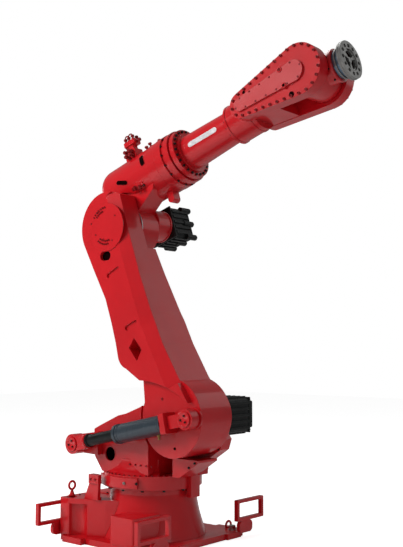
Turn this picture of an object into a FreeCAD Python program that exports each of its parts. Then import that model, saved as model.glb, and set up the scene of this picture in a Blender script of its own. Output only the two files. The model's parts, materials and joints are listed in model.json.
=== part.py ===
"""Heavy six-axis robot arm with a fork wrist and a balancing cylinder.

Millimetres, +Z up, +X to the robot's front. The origin is on the floor, on axis 1.
Each link is drawn in its own upright frame and then carried to its axis by put().
Every node is one STEP file in parts/.
"""
import FreeCAD
import Part
import math
import os

Vector = FreeCAD.Vector
AXIS_Y = Vector(0, 1, 0)

# Clearances
RUN = 6.0                 # running gap between two moving castings
SEAT = 0.3                # gap where a moving piece is carried by its bearing

# Reach of the links, and the pose at rest
AXIS_2 = (383.0, 750.0)   # x and z of the shoulder axis
ARM_LENGTH = 1237.0       # axis 2 to axis 3
ARM_LEAN = 24.2           # degrees back from upright
AXIS_4_RISE = 290.0       # axis 3 up to the forearm's axis
FOREARM_REACH = 1485.0    # along the forearm's axis to the wrist centre
FOREARM_PITCH = 18.0      # degrees above level
TOOL_REACH = 231.0        # wrist centre to the tool flange's face
TOOL_PITCH = 11.5

# Base
PLATE = 35.0              # floor plate thickness
PLATE_X = 385.0
PLATE_Y = 395.0
FOOT_X = (170.0, 400.0)
FOOT_Y = (230.0, 429.0)
FOOT_CHAMFER = 68.0
FLOOR_BOLT_X = 340.0
FLOOR_BOLT_Y = 350.0
FLOOR_BOLT_HOLE = 13.5    # radius
COLUMN = 262.0            # radius
COLUMN_NECK = 290.0       # height of the flare's upper end
COLUMN_FLARE = 326.0
COLUMN_TOP = 319.0
HOUSING_REAR = -395.0
HOUSING_Y = 400.0
HOUSING_TOP = 250.0
HOLLOW = (-243.0, 405.0)  # x and y of the hollow in each side of the housing
HOLLOW_RADIUS = 68.0
BOLT_ACCESS = 32.0        # radius of the bore over each rear floor bolt
SIDE_BOX_X = (44.0, 232.0)
SIDE_BOX_Y = (-400.0, -180.0)
SIDE_BOX_TOP = 192.0

# Fork-lift pockets: upright frames that the tines pass through along X
POCKET_X = 410.5
POCKET_Y = 428.0
POCKET_WIDTH = 222.0
POCKET_HEIGHT = 89.0
POCKET_FLOOR = 118.0
POCKET_BAR = 19.0
POCKET_DEPTH = 27.0       # along X
BRACKET_Y = 443.0
BRACKET_BOTTOM = 28.0

# Lifting eyes
EYE_RING = 24.0           # radius of the ring's centre line
EYE_WIRE = 7.0            # radius of the ring's bar
EYE_RISE = (62.0, 12.0)   # seat to the ring's centre, at the rear and at the front

# Turret
RING = 300.0              # radius of the turret's lower flange
RING_Z = (325.0, 404.0)
STOP_SEGMENT = 318.0
STOP_SEGMENT_AZIMUTH = (-128.0, -63.0)
STOP_REACH = (288.0, 326.0)
STOP_HANG = 272.0         # lower end of the hanging stop block
STOP_BRACKET = 343.0      # inner radius of what stands on the base
WALL_Y = 230.0            # half width of the turret casting
SKIRT_TOP = 492.0
SHOULDER = 184.0          # radius of the shoulder gearbox
SHOULDER_Y = (12.0, 115.0)
SHOULDER_NOSE = 138.0
MOTOR = 205.0             # square of the axis 2 motor

# Lower arm
ARM_NEAR = -289.0
ARM_PANEL = -255.0
ARM_FAR = SHOULDER_Y[0] - RUN
ARM_HUB = 224.0
ARM_SWEEP = 262.0         # radius about axis 2 that the arm's web needs behind it
ARM_HEAD = 222.0
ARM_HEAD_FAR = -130.0
ELBOW_SWEEP = 232.0       # radius about axis 3 that the elbow keeps to itself

# Balancing cylinder, between a bracket on the turret and a pin on the arm's hub
BALANCER_Y = -316.0
BALANCER_REAR = (-357.0, 562.0)
BALANCER_FRONT = (556.0, 759.0)
BALANCER_PIN = 24.0
BALANCER_TUBE = 34.0
BALANCER_BORE = 50.5
BALANCER_SLEEVE = 55.0
BALANCER_MOUTH = 384.0    # rear pin to the sleeve's open end
BALANCER_INSERT = 60.0    # tube inside the sleeve at rest
BALANCER_NECK = 168.0     # sleeve's closed end to the front pin
BALANCER_STROKE = 170.0   # room for the tube's end as the arm leans forward

# Elbow and forearm, along the forearm's axis from the foot of axis 3
BARREL = 165.0
GEAR_RING = 171.0
BARREL_X = (-140.0, 388.0)
GEAR_RING_X = (388.0, 506.0)
FLANGE = 158.0
FLANGE_X = (512.0, 545.0)
TUBE_X = (545.0, 912.0)
TUBE_ROOT = 108.0
TUBE_NOSE = 96.0
YOKE_COLLAR = 117.0
YOKE_COLLAR_LENGTH = 190.0
ELBOW_HUB = 150.0
ELBOW_FAR = 20.0          # far face of the elbow's neck
MOTOR_3 = (55.0, -262.0)  # axis 3 motor, off the joint's axis
ADAPTOR = 98.0
ADAPTOR_Y = (20.0, 150.0)

# Wrist fork
LEG_Y = (97.0, 172.0)
LEG_NOSE = 143.0          # radius about axis 5
LEG_ROOT = 76.0
LEG_ROOT_X = 1086.0
YOKE_X = (912.0, 1275.0)
COVER_NOSE_X = FOREARM_REACH - 22.0
COVER_NOSE = 60.0
COVER_ROOT = 38.0
COVER_RISE = 12.0

# Wrist and tool flange
WRIST_HUB = 122.0
WRIST_NECK = 88.0
TOOL_FLANGE = 107.0
TOOL_FLANGE_THICK = 26.0
TOOL_BOLT_CIRCLE = 160.0  # diameter
TOOL_BOLTS = 12
TOOL_BOLT_HOLE = 6.0      # radius


def turned(distance, angle):
    """The (x, z) offset of a distance along a direction, in degrees above level."""
    radians = math.radians(angle)
    return (distance * math.cos(radians), distance * math.sin(radians))


def added(point, offset):
    return (point[0] + offset[0], point[1] + offset[1])


AXIS_3 = added(AXIS_2, turned(ARM_LENGTH, 90 + ARM_LEAN))
ELBOW_FOOT = added(AXIS_3, turned(AXIS_4_RISE, 90 + FOREARM_PITCH))
WRIST = added(ELBOW_FOOT, turned(FOREARM_REACH, FOREARM_PITCH))
BALANCER_LENGTH = math.dist(BALANCER_REAR, BALANCER_FRONT)
BALANCER_PITCH = math.degrees(math.atan2(BALANCER_FRONT[1] - BALANCER_REAR[1],
                                         BALANCER_FRONT[0] - BALANCER_REAR[0]))


# Simple solids. Ranges are (low, high) and centres are (x, z) unless they say otherwise.

def block(x, y, z):
    return Part.makeBox(x[1] - x[0], y[1] - y[0], z[1] - z[0], Vector(x[0], y[0], z[0]))


def rod(centre, radius, y):
    """A cylinder along Y."""
    return Part.makeCylinder(radius, y[1] - y[0], Vector(centre[0], y[0], centre[1]), AXIS_Y)


def drum(radius, x, centre=(0, 0)):
    """A cylinder along X, with its centre line at (y, z)."""
    return Part.makeCylinder(radius, x[1] - x[0], Vector(x[0], *centre), Vector(1, 0, 0))


def taper(radii, x):
    """A cone along X."""
    return Part.makeCone(radii[0], radii[1], x[1] - x[0], Vector(x[0], 0, 0), Vector(1, 0, 0))


def post(centre, radius, z):
    """A cylinder along Z, with its centre at (x, y)."""
    return Part.makeCylinder(radius, z[1] - z[0], Vector(centre[0], centre[1], z[0]))


def outline(start, steps, y):
    """Extrude a closed outline in XZ along Y. A step is a point, or (middle, point) for an arc."""
    edges = []
    here = start
    closing = [] if isinstance(steps[-1][0], tuple) and steps[-1][1] == start else [start]
    for step in list(steps) + closing:
        if isinstance(step[0], tuple):
            points = [Vector(p[0], y[0], p[1]) for p in (here, *step)]
            edges.append(Part.Arc(*points).toShape())
            here = step[1]
        else:
            points = [Vector(p[0], y[0], p[1]) for p in (here, step)]
            edges.append(Part.LineSegment(*points).toShape())
            here = step
    return Part.Face(Part.Wire(edges)).extrude(Vector(0, y[1] - y[0], 0))


def plate(points, y):
    return outline(points[0], points[1:], y)


def teardrop(nose, nose_radius, root_x, root_radius, y):
    """The hull of two circles on one level line, with the nose at (x, 0), extruded along Y."""
    reach = nose - root_x
    slope = math.asin((nose_radius - root_radius) / reach)
    dx, dz = math.sin(slope), math.cos(slope)
    top_root = (root_x - root_radius * dx, root_radius * dz)
    top_nose = (nose - nose_radius * dx, nose_radius * dz)
    return outline(top_root, [top_nose, ((nose + nose_radius, 0), (top_nose[0], -top_nose[1])),
                              (top_root[0], -top_root[1]), ((root_x - root_radius, 0), top_root)], y)


def fused(first, *others):
    return first.multiFuse(list(others)).removeSplitter()


def softened(shape, radius, direction):
    """Round the straight edges that run along a direction."""
    edges = [e for e in shape.Edges if isinstance(e.Curve, Part.Line)
             and abs(abs(e.tangentAt(e.FirstParameter).dot(direction)) - 1) < 1e-6]
    return shape.makeFillet(radius, edges)


def put(shape, pivot, pitch=0.0):
    """Tip a link's shape nose-up by pitch and carry its origin to the pivot."""
    placed = shape.copy()
    placed.rotate(Vector(0, 0, 0), AXIS_Y, -pitch)
    placed.translate(Vector(pivot[0], 0, pivot[1]))
    return placed


def spun(shape, degrees, axis=Vector(0, 0, 1), centre=Vector(0, 0, 0)):
    turned_shape = shape.copy()
    turned_shape.rotate(centre, axis, degrees)
    return turned_shape


# Base

def signs():
    return [(sx, sy) for sx in (-1, 1) for sy in (-1, 1)]


def mirrored_range(pair, sign):
    return tuple(sorted((sign * pair[0], sign * pair[1])))


def raised(points, z):
    """Extrude a closed outline of (x, y) points along Z."""
    wire = Part.makePolygon([Vector(x, y, z[0]) for x, y in points + points[:1]])
    return Part.Face(wire).extrude(Vector(0, 0, z[1] - z[0]))


def foot(sx, sy):
    """A foot of the floor plate, with its outer corner cut off."""
    (x0, x1), (y0, y1) = FOOT_X, FOOT_Y
    points = [(x0, y0), (x1, y0), (x1, y1 - FOOT_CHAMFER), (x1 - FOOT_CHAMFER, y1), (x0, y1)]
    return raised([(sx * x, sy * y) for x, y in points], (0, PLATE))


def base_plate():
    plate_body = block((-PLATE_X, PLATE_X), (-PLATE_Y, PLATE_Y), (0, PLATE))
    body = fused(plate_body, *[foot(sx, sy) for sx, sy in signs()])
    for sx, sy in signs():
        centre = (sx * FLOOR_BOLT_X, sy * FLOOR_BOLT_Y)
        body = body.cut(post(centre, FLOOR_BOLT_HOLE, (-1, PLATE + 1)))
    return body


def column_profile():
    """Half section of the column: a long concave flare and a seat for the turret."""
    seat_r, seat_z = COLUMN - 60, RING_Z[0] - SEAT
    low, neck = Vector(COLUMN_FLARE, 0, PLATE), Vector(COLUMN, 0, COLUMN_NECK)
    middle = Vector(COLUMN + 0.37 * (COLUMN_FLARE - COLUMN), 0, (PLATE + COLUMN_NECK) / 2)
    lines = [Vector(0, 0, PLATE), low, neck, Vector(COLUMN, 0, COLUMN_TOP),
             Vector(seat_r, 0, COLUMN_TOP), Vector(seat_r, 0, seat_z), Vector(0, 0, seat_z)]
    edges = [Part.LineSegment(lines[0], low).toShape(), Part.Arc(low, middle, neck).toShape()]
    edges += [Part.LineSegment(a, b).toShape() for a, b in zip(lines[2:], lines[3:])]
    edges.append(Part.LineSegment(lines[-1], lines[0]).toShape())
    return Part.Face(Part.Wire(edges))


def base_column():
    return column_profile().revolve(Vector(0, 0, 0), Vector(0, 0, 1), 360)


def base_housing(column):
    """The rear housing. Its sides slant in to the column and have a hollow each."""
    near = [(HOUSING_REAR, -HOUSING_Y), (-320, -HOUSING_Y), (-90, -310), (0, -COLUMN + 4)]
    far = [(x, -y) for x, y in reversed(near)]
    body = softened(raised(near + far, (PLATE, HOUSING_TOP)), 14, Vector(0, 0, 1)).cut(column)
    for sy in (-1, 1):
        body = body.cut(post((-FLOOR_BOLT_X, sy * FLOOR_BOLT_Y), BOLT_ACCESS, (PLATE, HOUSING_TOP + 1)))
        body = body.cut(post((HOLLOW[0], sy * HOLLOW[1]), HOLLOW_RADIUS, (PLATE, HOUSING_TOP - 30)))
    return body


def side_box(column):
    body = softened(block(SIDE_BOX_X, SIDE_BOX_Y, (PLATE, SIDE_BOX_TOP)), 14, Vector(0, 0, 1))
    return body.cut(column)


def connector_panel():
    """The plate at the rear with its round sockets."""
    x = (HOUSING_REAR - 12, HOUSING_REAR)
    body = softened(block(x, (-150, 150), (70, 220)), 10, Vector(1, 0, 0))
    sockets = [drum(26, (x[0] - 22, x[0]), (y, 145)) for y in (-90, 0, 90)]
    return fused(body, *sockets)


def fork_pocket(sx, sy):
    """A rectangular tube frame for a fork-lift tine, on a bracket at the foot."""
    half = POCKET_DEPTH / 2
    x = mirrored_range((POCKET_X - half, POCKET_X + half), sx)
    inner_y = (sy * POCKET_Y - POCKET_WIDTH / 2, sy * POCKET_Y + POCKET_WIDTH / 2)
    inner_z = (POCKET_FLOOR, POCKET_FLOOR + POCKET_HEIGHT)
    outer = block(x, (inner_y[0] - POCKET_BAR, inner_y[1] + POCKET_BAR),
                  (inner_z[0] - POCKET_BAR, inner_z[1] + POCKET_BAR))
    frame = softened(outer, 6, Vector(1, 0, 0))
    frame = frame.cut(block((x[0] - 1, x[1] + 1), inner_y, inner_z))
    bracket_x = mirrored_range((FOOT_X[1], POCKET_X + half), sx)
    bracket_y = mirrored_range((POCKET_Y - POCKET_WIDTH / 2, BRACKET_Y), sy)
    bracket = block(bracket_x, bracket_y, (BRACKET_BOTTOM, inner_z[0] - POCKET_BAR))
    return fused(frame, softened(bracket, 28, Vector(1, 0, 0)))


def lifting_eye(x, y, z, rise):
    """A ring across the X axis, with its centre a rise above the seat."""
    ring = Part.makeTorus(EYE_RING, EYE_WIRE, Vector(x, y, z + rise), Vector(1, 0, 0))
    ring = ring.cut(post((x, y), 2 * EYE_RING, (z - 2 * EYE_RING, z)))
    collar = post((x, y), 22, (z, z + 6))
    if rise < EYE_RING:
        return fused(collar, ring)
    neck = Part.makeCone(18, EYE_WIRE - 1, rise - EYE_RING, Vector(x, y, z))
    return fused(collar, neck, ring)


def stop_bracket():
    """A braced post on the rear housing that carries the axis 1 stop."""
    y = (-342, -310)
    web = plate([(-240, HOUSING_TOP), (-124, HOUSING_TOP), (-112, 392), (-192, 392), (-196, 345)], y)
    head = block((-194, -110), (-350, y[1]), (345, 398))
    body = fused(web, head)
    return body.cut(post((0, 0), STOP_BRACKET, (STOP_HANG - RUN, RING_Z[1] + 100)))


# Turret

def ring_segment(radii, azimuth, z):
    """Part of a flat ring between two azimuths, in degrees."""
    sweep = azimuth[1] - azimuth[0]
    outer = Part.makeCylinder(radii[1], z[1] - z[0], Vector(0, 0, z[0]), Vector(0, 0, 1), sweep)
    inner = Part.makeCylinder(radii[0], z[1] - z[0], Vector(0, 0, z[0]), Vector(0, 0, 1), sweep)
    return spun(outer.cut(inner), azimuth[0])


def turret_ring():
    disc = post((0, 0), RING, RING_Z)
    segment = ring_segment((RING - 40, STOP_SEGMENT), STOP_SEGMENT_AZIMUTH, (336, 396))
    return fused(disc, segment)


def axis_1_stop_block():
    """The block that hangs under the turret's flange, outside the column."""
    outer = ring_segment((STOP_REACH[0], STOP_REACH[1]), (-3, 12), (STOP_HANG, RING_Z[0]))
    lug = ring_segment((RING, STOP_REACH[1]), (-3, 12), (RING_Z[0], RING_Z[1]))
    return fused(outer, lug)


def turret_casting():
    z0 = RING_Z[1]
    rear = plate([(-205, z0), (-270, 487), (-278, 565), (-278, 652), (-235, 672), (-71, 742),
                  (-3, 757), (113, 800), (250, 880), (250, z0)], (-WALL_Y, WALL_Y))
    rear = rear.cut(rod(AXIS_2, ARM_SWEEP, (-WALL_Y - 1, SHOULDER_Y[0])))
    rear = rear.cut(outline((180, z0), [(180, 900), (300, 900), (300, z0)],
                            (-WALL_Y - 1, SHOULDER_Y[0])))
    side = plate([(60, z0), (60, 780), (240, 880), (400, 800), (540, 620), (520, 560), (285, z0)],
                 (SHOULDER_Y[0], SHOULDER_Y[1] - 20))
    lug = block((250, 362), (SHOULDER_Y[0], 92), (z0, 446))
    body = fused(rear, side, turret_skirt(), lug).cut(shoulder_housing())
    return body.cut(rod((-135, 511), 41, (-WALL_Y - 1, -WALL_Y + 90)))


def turret_skirt():
    """The concave flare from the flange up to the near wall."""
    z0 = RING_Z[1]
    inner, foot_r, top_r = 120, RING - 12, WALL_Y + 4
    section = ((inner, z0), (foot_r, z0), (top_r, SKIRT_TOP), (inner, SKIRT_TOP))
    corners = [Vector(r, 0, z) for r, z in section]
    middle = Vector(top_r + 0.22 * (foot_r - top_r), 0, z0 + 0.38 * (SKIRT_TOP - z0))
    edges = [Part.LineSegment(corners[0], corners[1]).toShape(),
             Part.Arc(corners[1], middle, corners[2]).toShape(),
             Part.LineSegment(corners[2], corners[3]).toShape(),
             Part.LineSegment(corners[3], corners[0]).toShape()]
    skirt = Part.Face(Part.Wire(edges)).revolve(Vector(0, 0, 0), Vector(0, 0, 1), 112)
    return spun(skirt, -150).common(block((-300, 240), (-300, 0), (z0, SKIRT_TOP)))


def turret_gusset():
    """The wedge under the shoulder on the near side."""
    z0 = RING_Z[1]
    return plate([(298, z0), (350, z0), (498, 500), (498, 512), (298, 512)], (-150, SHOULDER_Y[0]))


def shoulder_housing():
    """The axis 2 gearbox, a drum that narrows to its motor."""
    drum_end = SHOULDER_Y[0] + 50
    body = rod(AXIS_2, SHOULDER, (SHOULDER_Y[0], drum_end))
    nose = Part.makeCone(SHOULDER, SHOULDER_NOSE, SHOULDER_Y[1] - drum_end,
                         Vector(AXIS_2[0], drum_end, AXIS_2[1]), AXIS_Y)
    return fused(body, nose)


def square_motor(centre, y, size, cap):
    """A square motor along Y with a smaller cap at its far end."""
    half = size / 2
    body = block((centre[0] - half, centre[0] + half), y, (centre[1] - half, centre[1] + half))
    body = softened(body, 22, AXIS_Y)
    small = 0.4 * size
    end = block((centre[0] - small, centre[0] + small), (y[1], y[1] + cap),
                (centre[1] - small, centre[1] + small))
    return fused(body, softened(end, 12, AXIS_Y))


def axis_2_motor():
    return square_motor((AXIS_2[0], AXIS_2[1] - 8), (SHOULDER_Y[1], 345), MOTOR, 48)


def balancer_bracket():
    """The arm on the turret's rear corner that carries the balancer's rear pin."""
    x, z = BALANCER_REAR
    y = (BALANCER_Y + 48, -WALL_Y)
    body = outline((x, z + 56), [(-205, z + 78), (-205, z - 60), (x, z - 56), ((x - 56, z), (x, z + 56))],
                   y)
    boss = rod(BALANCER_REAR, 60, (BALANCER_Y + 36, y[0]))
    pin = rod(BALANCER_REAR, BALANCER_PIN, (BALANCER_Y - 28, BALANCER_Y + 36))
    return fused(body, boss, pin)


# Lower arm, drawn upright with axis 2 at the origin

def arm_head_outline(y):
    """The thick upper part: from the step above the hub to the round head about axis 3."""
    top = (0, ARM_LENGTH + ARM_HEAD)
    return outline((-116, 280), [((43, 179), (177, 23)), (144, 201), (115, 413), (106, 622), (110, 870),
                                 (133, 1136), (158, ARM_LENGTH + 150), (top, (-ARM_HEAD, ARM_LENGTH)),
                                 (-206, 1052), (-183, 840), (-193, 688), (-208, 559), (-223, 480),
                                 ((-219, 425), (-190, 385))], y)


def arm_side_cut():
    """What is taken off the far side, so that the head leaves room for the elbow."""
    depth = Vector(900, 0, 0)
    points = [(ARM_FAR, 560), (-32, 870), (-62, 1050), (ARM_HEAD_FAR, 1190), (ARM_HEAD_FAR, 1600),
              (60, 1600), (60, 560)]
    wire = Part.makePolygon([Vector(-450, y, z) for y, z in points + points[:1]])
    return Part.Face(wire).extrude(depth)


def arm_bevel():
    """The wedge that bevels the near front edge from hub to head."""
    def corner(z, near, front):
        points = [(near, ARM_NEAR), (front, -258), (front + 60, -258), (front + 60, ARM_NEAR - 5),
                  (near, ARM_NEAR - 5)]
        return Part.makePolygon([Vector(x, y, z) for x, y in points + points[:1]])
    return Part.makeLoft([corner(150, 60, 152), corner(560, 24, 107), corner(870, 36, 110),
                          corner(1420, 74, 170)], True, True)


def slot(centre, length, radius, tilt, y):
    """An oblong along a tilted line in XZ."""
    straight = length / 2 - radius
    right, left = (straight + radius, 0), (-straight - radius, 0)
    bar = outline((-straight, radius), [(straight, radius), (right, (straight, -radius)),
                                        (-straight, -radius), (left, (-straight, radius))], y)
    return put(bar, centre, tilt)


def lower_arm_casting():
    hub = rod((0, 0), ARM_HUB, (ARM_PANEL, ARM_FAR))
    web = plate([(-116, 280), (-166, 130), (-200, 40), (177, 23), (144, 201), (60, 300)],
                (ARM_PANEL, ARM_FAR))
    body = fused(arm_head_outline((ARM_NEAR, ARM_FAR)), hub, web)
    body = body.cut(arm_side_cut()).cut(arm_bevel())
    body = body.cut(rod((0, ARM_LENGTH), ELBOW_SWEEP, (ARM_HEAD_FAR, ARM_FAR + 1)))
    inside = (ARM_NEAR - 1, ARM_NEAR + 70)
    shallow = (ARM_NEAR - 1, ARM_NEAR + 12)
    body = body.cut(slot((-80, 1081), 90, 28, -ARM_LEAN, inside))
    body = body.cut(plate([(-56, 523), (-118, 486), (-88, 389), (-28, 436)], inside))
    body = body.cut(slot((-60, 958), 116, 15, 0, shallow))
    return body.cut(slot((-50, 601), 106, 15, 0, shallow))


def axis_3_cover():
    """The bolted cap over axis 3 on the near side."""
    return rod((0, ARM_LENGTH), 148, (ARM_NEAR - 5, ARM_NEAR))


def axis_3_reducer():
    """The output flange between the arm's head and the elbow."""
    return rod((0, ARM_LENGTH), 150, (ARM_HEAD_FAR, ARM_HEAD_FAR + RUN - SEAT))


def axis_2_reducer():
    """The flange by which the arm hangs on the shoulder gearbox."""
    return rod((0, 0), 170, (ARM_FAR, SHOULDER_Y[0] - SEAT))


def balancer_pin():
    """The boss and pin on the arm's hub for the balancer's front eye."""
    x = BALANCER_FRONT[0] - AXIS_2[0]
    z = BALANCER_FRONT[1] - AXIS_2[1]
    boss = rod((x, z), 46, (BALANCER_Y + 30, ARM_PANEL))
    pin = rod((x, z), BALANCER_PIN, (BALANCER_Y - 28, BALANCER_Y + 30))
    return fused(boss, pin)


# Balancing cylinder, drawn level with its rear pin at the origin

def eye_block(x, radius, reach, half_height, y):
    """An eye about (x, 0) that runs on as a block towards the cylinder."""
    body = rod((x, 0), radius, y)
    tail = block(tuple(sorted((x, x + reach))), y, (-half_height, half_height))
    eye = fused(body, tail)
    return eye.cut(rod((x, 0), BALANCER_PIN + SEAT, (y[0] - 1, y[1] + 1)))


def carried(shape):
    """Move a balancer shape from the middle plane to the cylinder's own plane."""
    moved = shape.copy()
    moved.translate(Vector(0, BALANCER_Y, 0))
    return put(moved, BALANCER_REAR, BALANCER_PITCH)


def balancer_clevis():
    return carried(eye_block(0, 60, 112, 44, (-26, 35.7)))


def balancer_tube():
    body = drum(BALANCER_TUBE, (112, BALANCER_MOUTH + BALANCER_INSERT))
    collar = drum(BALANCER_TUBE + 5, (112, 140))
    return carried(fused(body, collar))


def balancer_sleeve():
    end = BALANCER_LENGTH - BALANCER_NECK
    body = fused(drum(BALANCER_SLEEVE, (BALANCER_MOUTH, end)),
                 drum(BALANCER_SLEEVE + 3, (BALANCER_MOUTH, BALANCER_MOUTH + 20)))
    depth = BALANCER_INSERT + BALANCER_STROKE
    return carried(body.cut(drum(BALANCER_BORE, (BALANCER_MOUTH - 1, BALANCER_MOUTH + depth))))


def balancer_flange():
    end = BALANCER_LENGTH - BALANCER_NECK
    body = block((end, end + 40), (-50, 50), (-58, 58))
    return carried(softened(body, 8, Vector(1, 0, 0)))


def balancer_eye():
    return carried(eye_block(BALANCER_LENGTH, 57, 40 - BALANCER_NECK, 36, (-26, 29.7)))


# Elbow, drawn level with the foot of axis 3 at the origin and axis 3 below it

def elbow_casting():
    barrel = drum(BARREL, BARREL_X)
    rear_rim = [e for e in barrel.Edges if e.BoundBox.XMax < BARREL_X[0] + 1]
    barrel = barrel.makeFillet(90, rear_rim)
    front = added((0, -AXIS_4_RISE), turned(ELBOW_HUB, 28))
    under = added((0, -AXIS_4_RISE), turned(ELBOW_HUB, -76))
    neck = outline((-ELBOW_HUB, -AXIS_4_RISE),
                   [(-118, -40), (330, -60), (290, -140), front, (under, (-ELBOW_HUB, -AXIS_4_RISE))],
                   (ARM_HEAD_FAR + RUN, ELBOW_FAR))
    body = fused(barrel, neck)
    body = body.cut(rod((0, -AXIS_4_RISE), ELBOW_SWEEP, (-400, ARM_HEAD_FAR + RUN)))
    return body


def elbow_gear_ring():
    """The axis 4 gear housing, a bolted ring in front of the casting."""
    x = GEAR_RING_X
    return fused(drum(GEAR_RING, (x[0], x[0] + 60)), drum(GEAR_RING - 10, (x[0] + 60, x[0] + 84)),
                 drum(GEAR_RING - 3, (x[0] + 84, x[1])))


def elbow_lug():
    return softened(block((314, 362), (-32, 26), (-236, -120)), 22, AXIS_Y).cut(elbow_casting())


def axis_3_adaptor():
    """The red drum between the elbow and the axis 3 motor."""
    return rod(MOTOR_3, ADAPTOR, ADAPTOR_Y)


def axis_3_motor():
    return square_motor(MOTOR_3, (ADAPTOR_Y[1], 330), 196, 26)


def air_manifold():
    """The valve block on the elbow's top."""
    foot_block = block((110, 200), (-95, -25), (110, 195))
    neck = block((130, 180), (-80, -40), (195, 232))
    head = block((115, 205), (-90, -30), (232, 262))
    return fused(foot_block, neck, head).cut(drum(BARREL, BARREL_X))


# Forearm, in the elbow's frame

def forearm_flange():
    seat = drum(FLANGE - 40, (GEAR_RING_X[1] + SEAT, FLANGE_X[0]))
    return fused(drum(FLANGE, FLANGE_X), seat)


def forearm_tube():
    body = taper((TUBE_ROOT, TUBE_NOSE), TUBE_X)
    collar = drum(TUBE_ROOT + 18, (TUBE_X[0], TUBE_X[0] + 16))
    return fused(body, collar)


def wrist_yoke():
    """The block at the tube's end that carries the two legs."""
    collar = drum(YOKE_COLLAR, (YOKE_X[0], YOKE_X[0] + YOKE_COLLAR_LENGTH))
    middle = teardrop(FOREARM_REACH, LEG_NOSE - 4, LEG_ROOT_X, LEG_ROOT - 2, (-LEG_Y[0], LEG_Y[0]))
    middle = middle.common(block((YOKE_X[0], YOKE_X[1]), (-LEG_Y[1], LEG_Y[1]), (-LEG_NOSE, LEG_NOSE)))
    middle = middle.cut(rod((FOREARM_REACH, 0), WRIST_HUB + RUN + 24, (-LEG_Y[0], LEG_Y[0])))
    return fused(collar, middle)


def wrist_leg(side):
    y = mirrored_range(LEG_Y, side)
    body = teardrop(FOREARM_REACH, LEG_NOSE, LEG_ROOT_X, LEG_ROOT, y)
    return body.cut(drum(YOKE_COLLAR, (YOKE_X[0], YOKE_X[0] + YOKE_COLLAR_LENGTH)))


def wrist_cover(side):
    y = mirrored_range((LEG_Y[1], LEG_Y[1] + COVER_RISE), side)
    return teardrop(COVER_NOSE_X, COVER_NOSE, LEG_ROOT_X, COVER_ROOT, y)


# Wrist, drawn level with axis 5 at the origin

def wrist_body():
    half = LEG_Y[0] - RUN
    hub = rod((0, 0), WRIST_HUB, (-half, half))
    bosses = rod((0, 0), 60, (-LEG_Y[0] + SEAT, LEG_Y[0] - SEAT))
    neck = drum(WRIST_NECK, (0, TOOL_REACH - TOOL_FLANGE_THICK - 46))
    return fused(hub, bosses, neck)


def tool_hub():
    """The dark bearing hub behind the flange."""
    start = TOOL_REACH - TOOL_FLANGE_THICK - 46
    return drum(WRIST_NECK - 8, (start + SEAT, TOOL_REACH - TOOL_FLANGE_THICK))


def kidney(azimuth, x):
    """One of the three openings in the flange's face."""
    outer = drum(52, x).cut(drum(16, x))
    wedge = plate([(0, 0), turned(200, azimuth + 46), turned(200, azimuth - 46)], (0, x[1] - x[0]))
    wedge.rotate(Vector(0, 0, 0), Vector(0, 0, 1), -90)
    wedge.translate(Vector(x[0], 0, 0))
    return outer.common(wedge)


def tool_flange():
    x = (TOOL_REACH - TOOL_FLANGE_THICK, TOOL_REACH)
    body = drum(TOOL_FLANGE, x).cut(drum(62, (x[1] - 6, x[1] + 1)))
    for index in range(3):
        body = body.cut(kidney(90 + 120 * index, (x[1] - 20, x[1])))
    for index in range(TOOL_BOLTS):
        y, z = turned(TOOL_BOLT_CIRCLE / 2, 360 * index / TOOL_BOLTS)
        body = body.cut(drum(TOOL_BOLT_HOLE, (x[0] + 2, x[1] + 1), (y, z)))
    return body


def base_parts():
    column = base_column()
    parts = {"base_plate": base_plate(), "base_column": column, "base_housing": base_housing(column),
             "side_box": side_box(column), "connector_panel": connector_panel(),
             "axis_1_stop_bracket": stop_bracket()}
    for sx, sy in signs():
        place = ("rear" if sx < 0 else "front") + ("_right" if sy < 0 else "_left")
        parts["fork_pocket_" + place] = fork_pocket(sx, sy)
        seat = (-372, sy * 322, HOUSING_TOP, EYE_RISE[0]) if sx < 0 else (268, sy * 402, PLATE, EYE_RISE[1])
        parts["lifting_eye_" + place] = lifting_eye(*seat)
    return parts


def turret_parts():
    return {"turret_ring": turret_ring(), "axis_1_stop_block": axis_1_stop_block(),
            "turret_casting": turret_casting(), "turret_gusset": turret_gusset(),
            "shoulder_housing": shoulder_housing(), "axis_2_motor": axis_2_motor(),
            "balancer_bracket": balancer_bracket()}


def arm_parts():
    parts = {"lower_arm_casting": lower_arm_casting(), "axis_3_cover": axis_3_cover(),
             "axis_3_reducer": axis_3_reducer(), "axis_2_reducer": axis_2_reducer()}
    placed = {name: put(shape, AXIS_2, ARM_LEAN) for name, shape in parts.items()}
    placed["balancer_pin"] = put(balancer_pin(), AXIS_2)
    return placed


def balancer_parts():
    return {"balancer_clevis": balancer_clevis(), "balancer_tube": balancer_tube(),
            "balancer_sleeve": balancer_sleeve(), "balancer_flange": balancer_flange(),
            "balancer_eye": balancer_eye()}


def elbow_and_forearm_parts():
    parts = {"elbow_casting": elbow_casting(), "elbow_gear_ring": elbow_gear_ring(),
             "elbow_lug": elbow_lug(), "air_manifold": air_manifold(),
             "forearm_flange": forearm_flange(), "forearm_tube": forearm_tube(), "wrist_yoke": wrist_yoke(),
             "wrist_leg_right": wrist_leg(-1), "wrist_leg_left": wrist_leg(1),
             "wrist_cover_right": wrist_cover(-1), "wrist_cover_left": wrist_cover(1),
             "axis_3_adaptor": axis_3_adaptor(), "axis_3_motor": axis_3_motor()}
    return {name: put(shape, ELBOW_FOOT, FOREARM_PITCH) for name, shape in parts.items()}


def wrist_parts():
    parts = {"wrist_body": wrist_body(), "tool_hub": tool_hub(), "tool_flange": tool_flange()}
    return {name: put(shape, WRIST, TOOL_PITCH) for name, shape in parts.items()}


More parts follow.
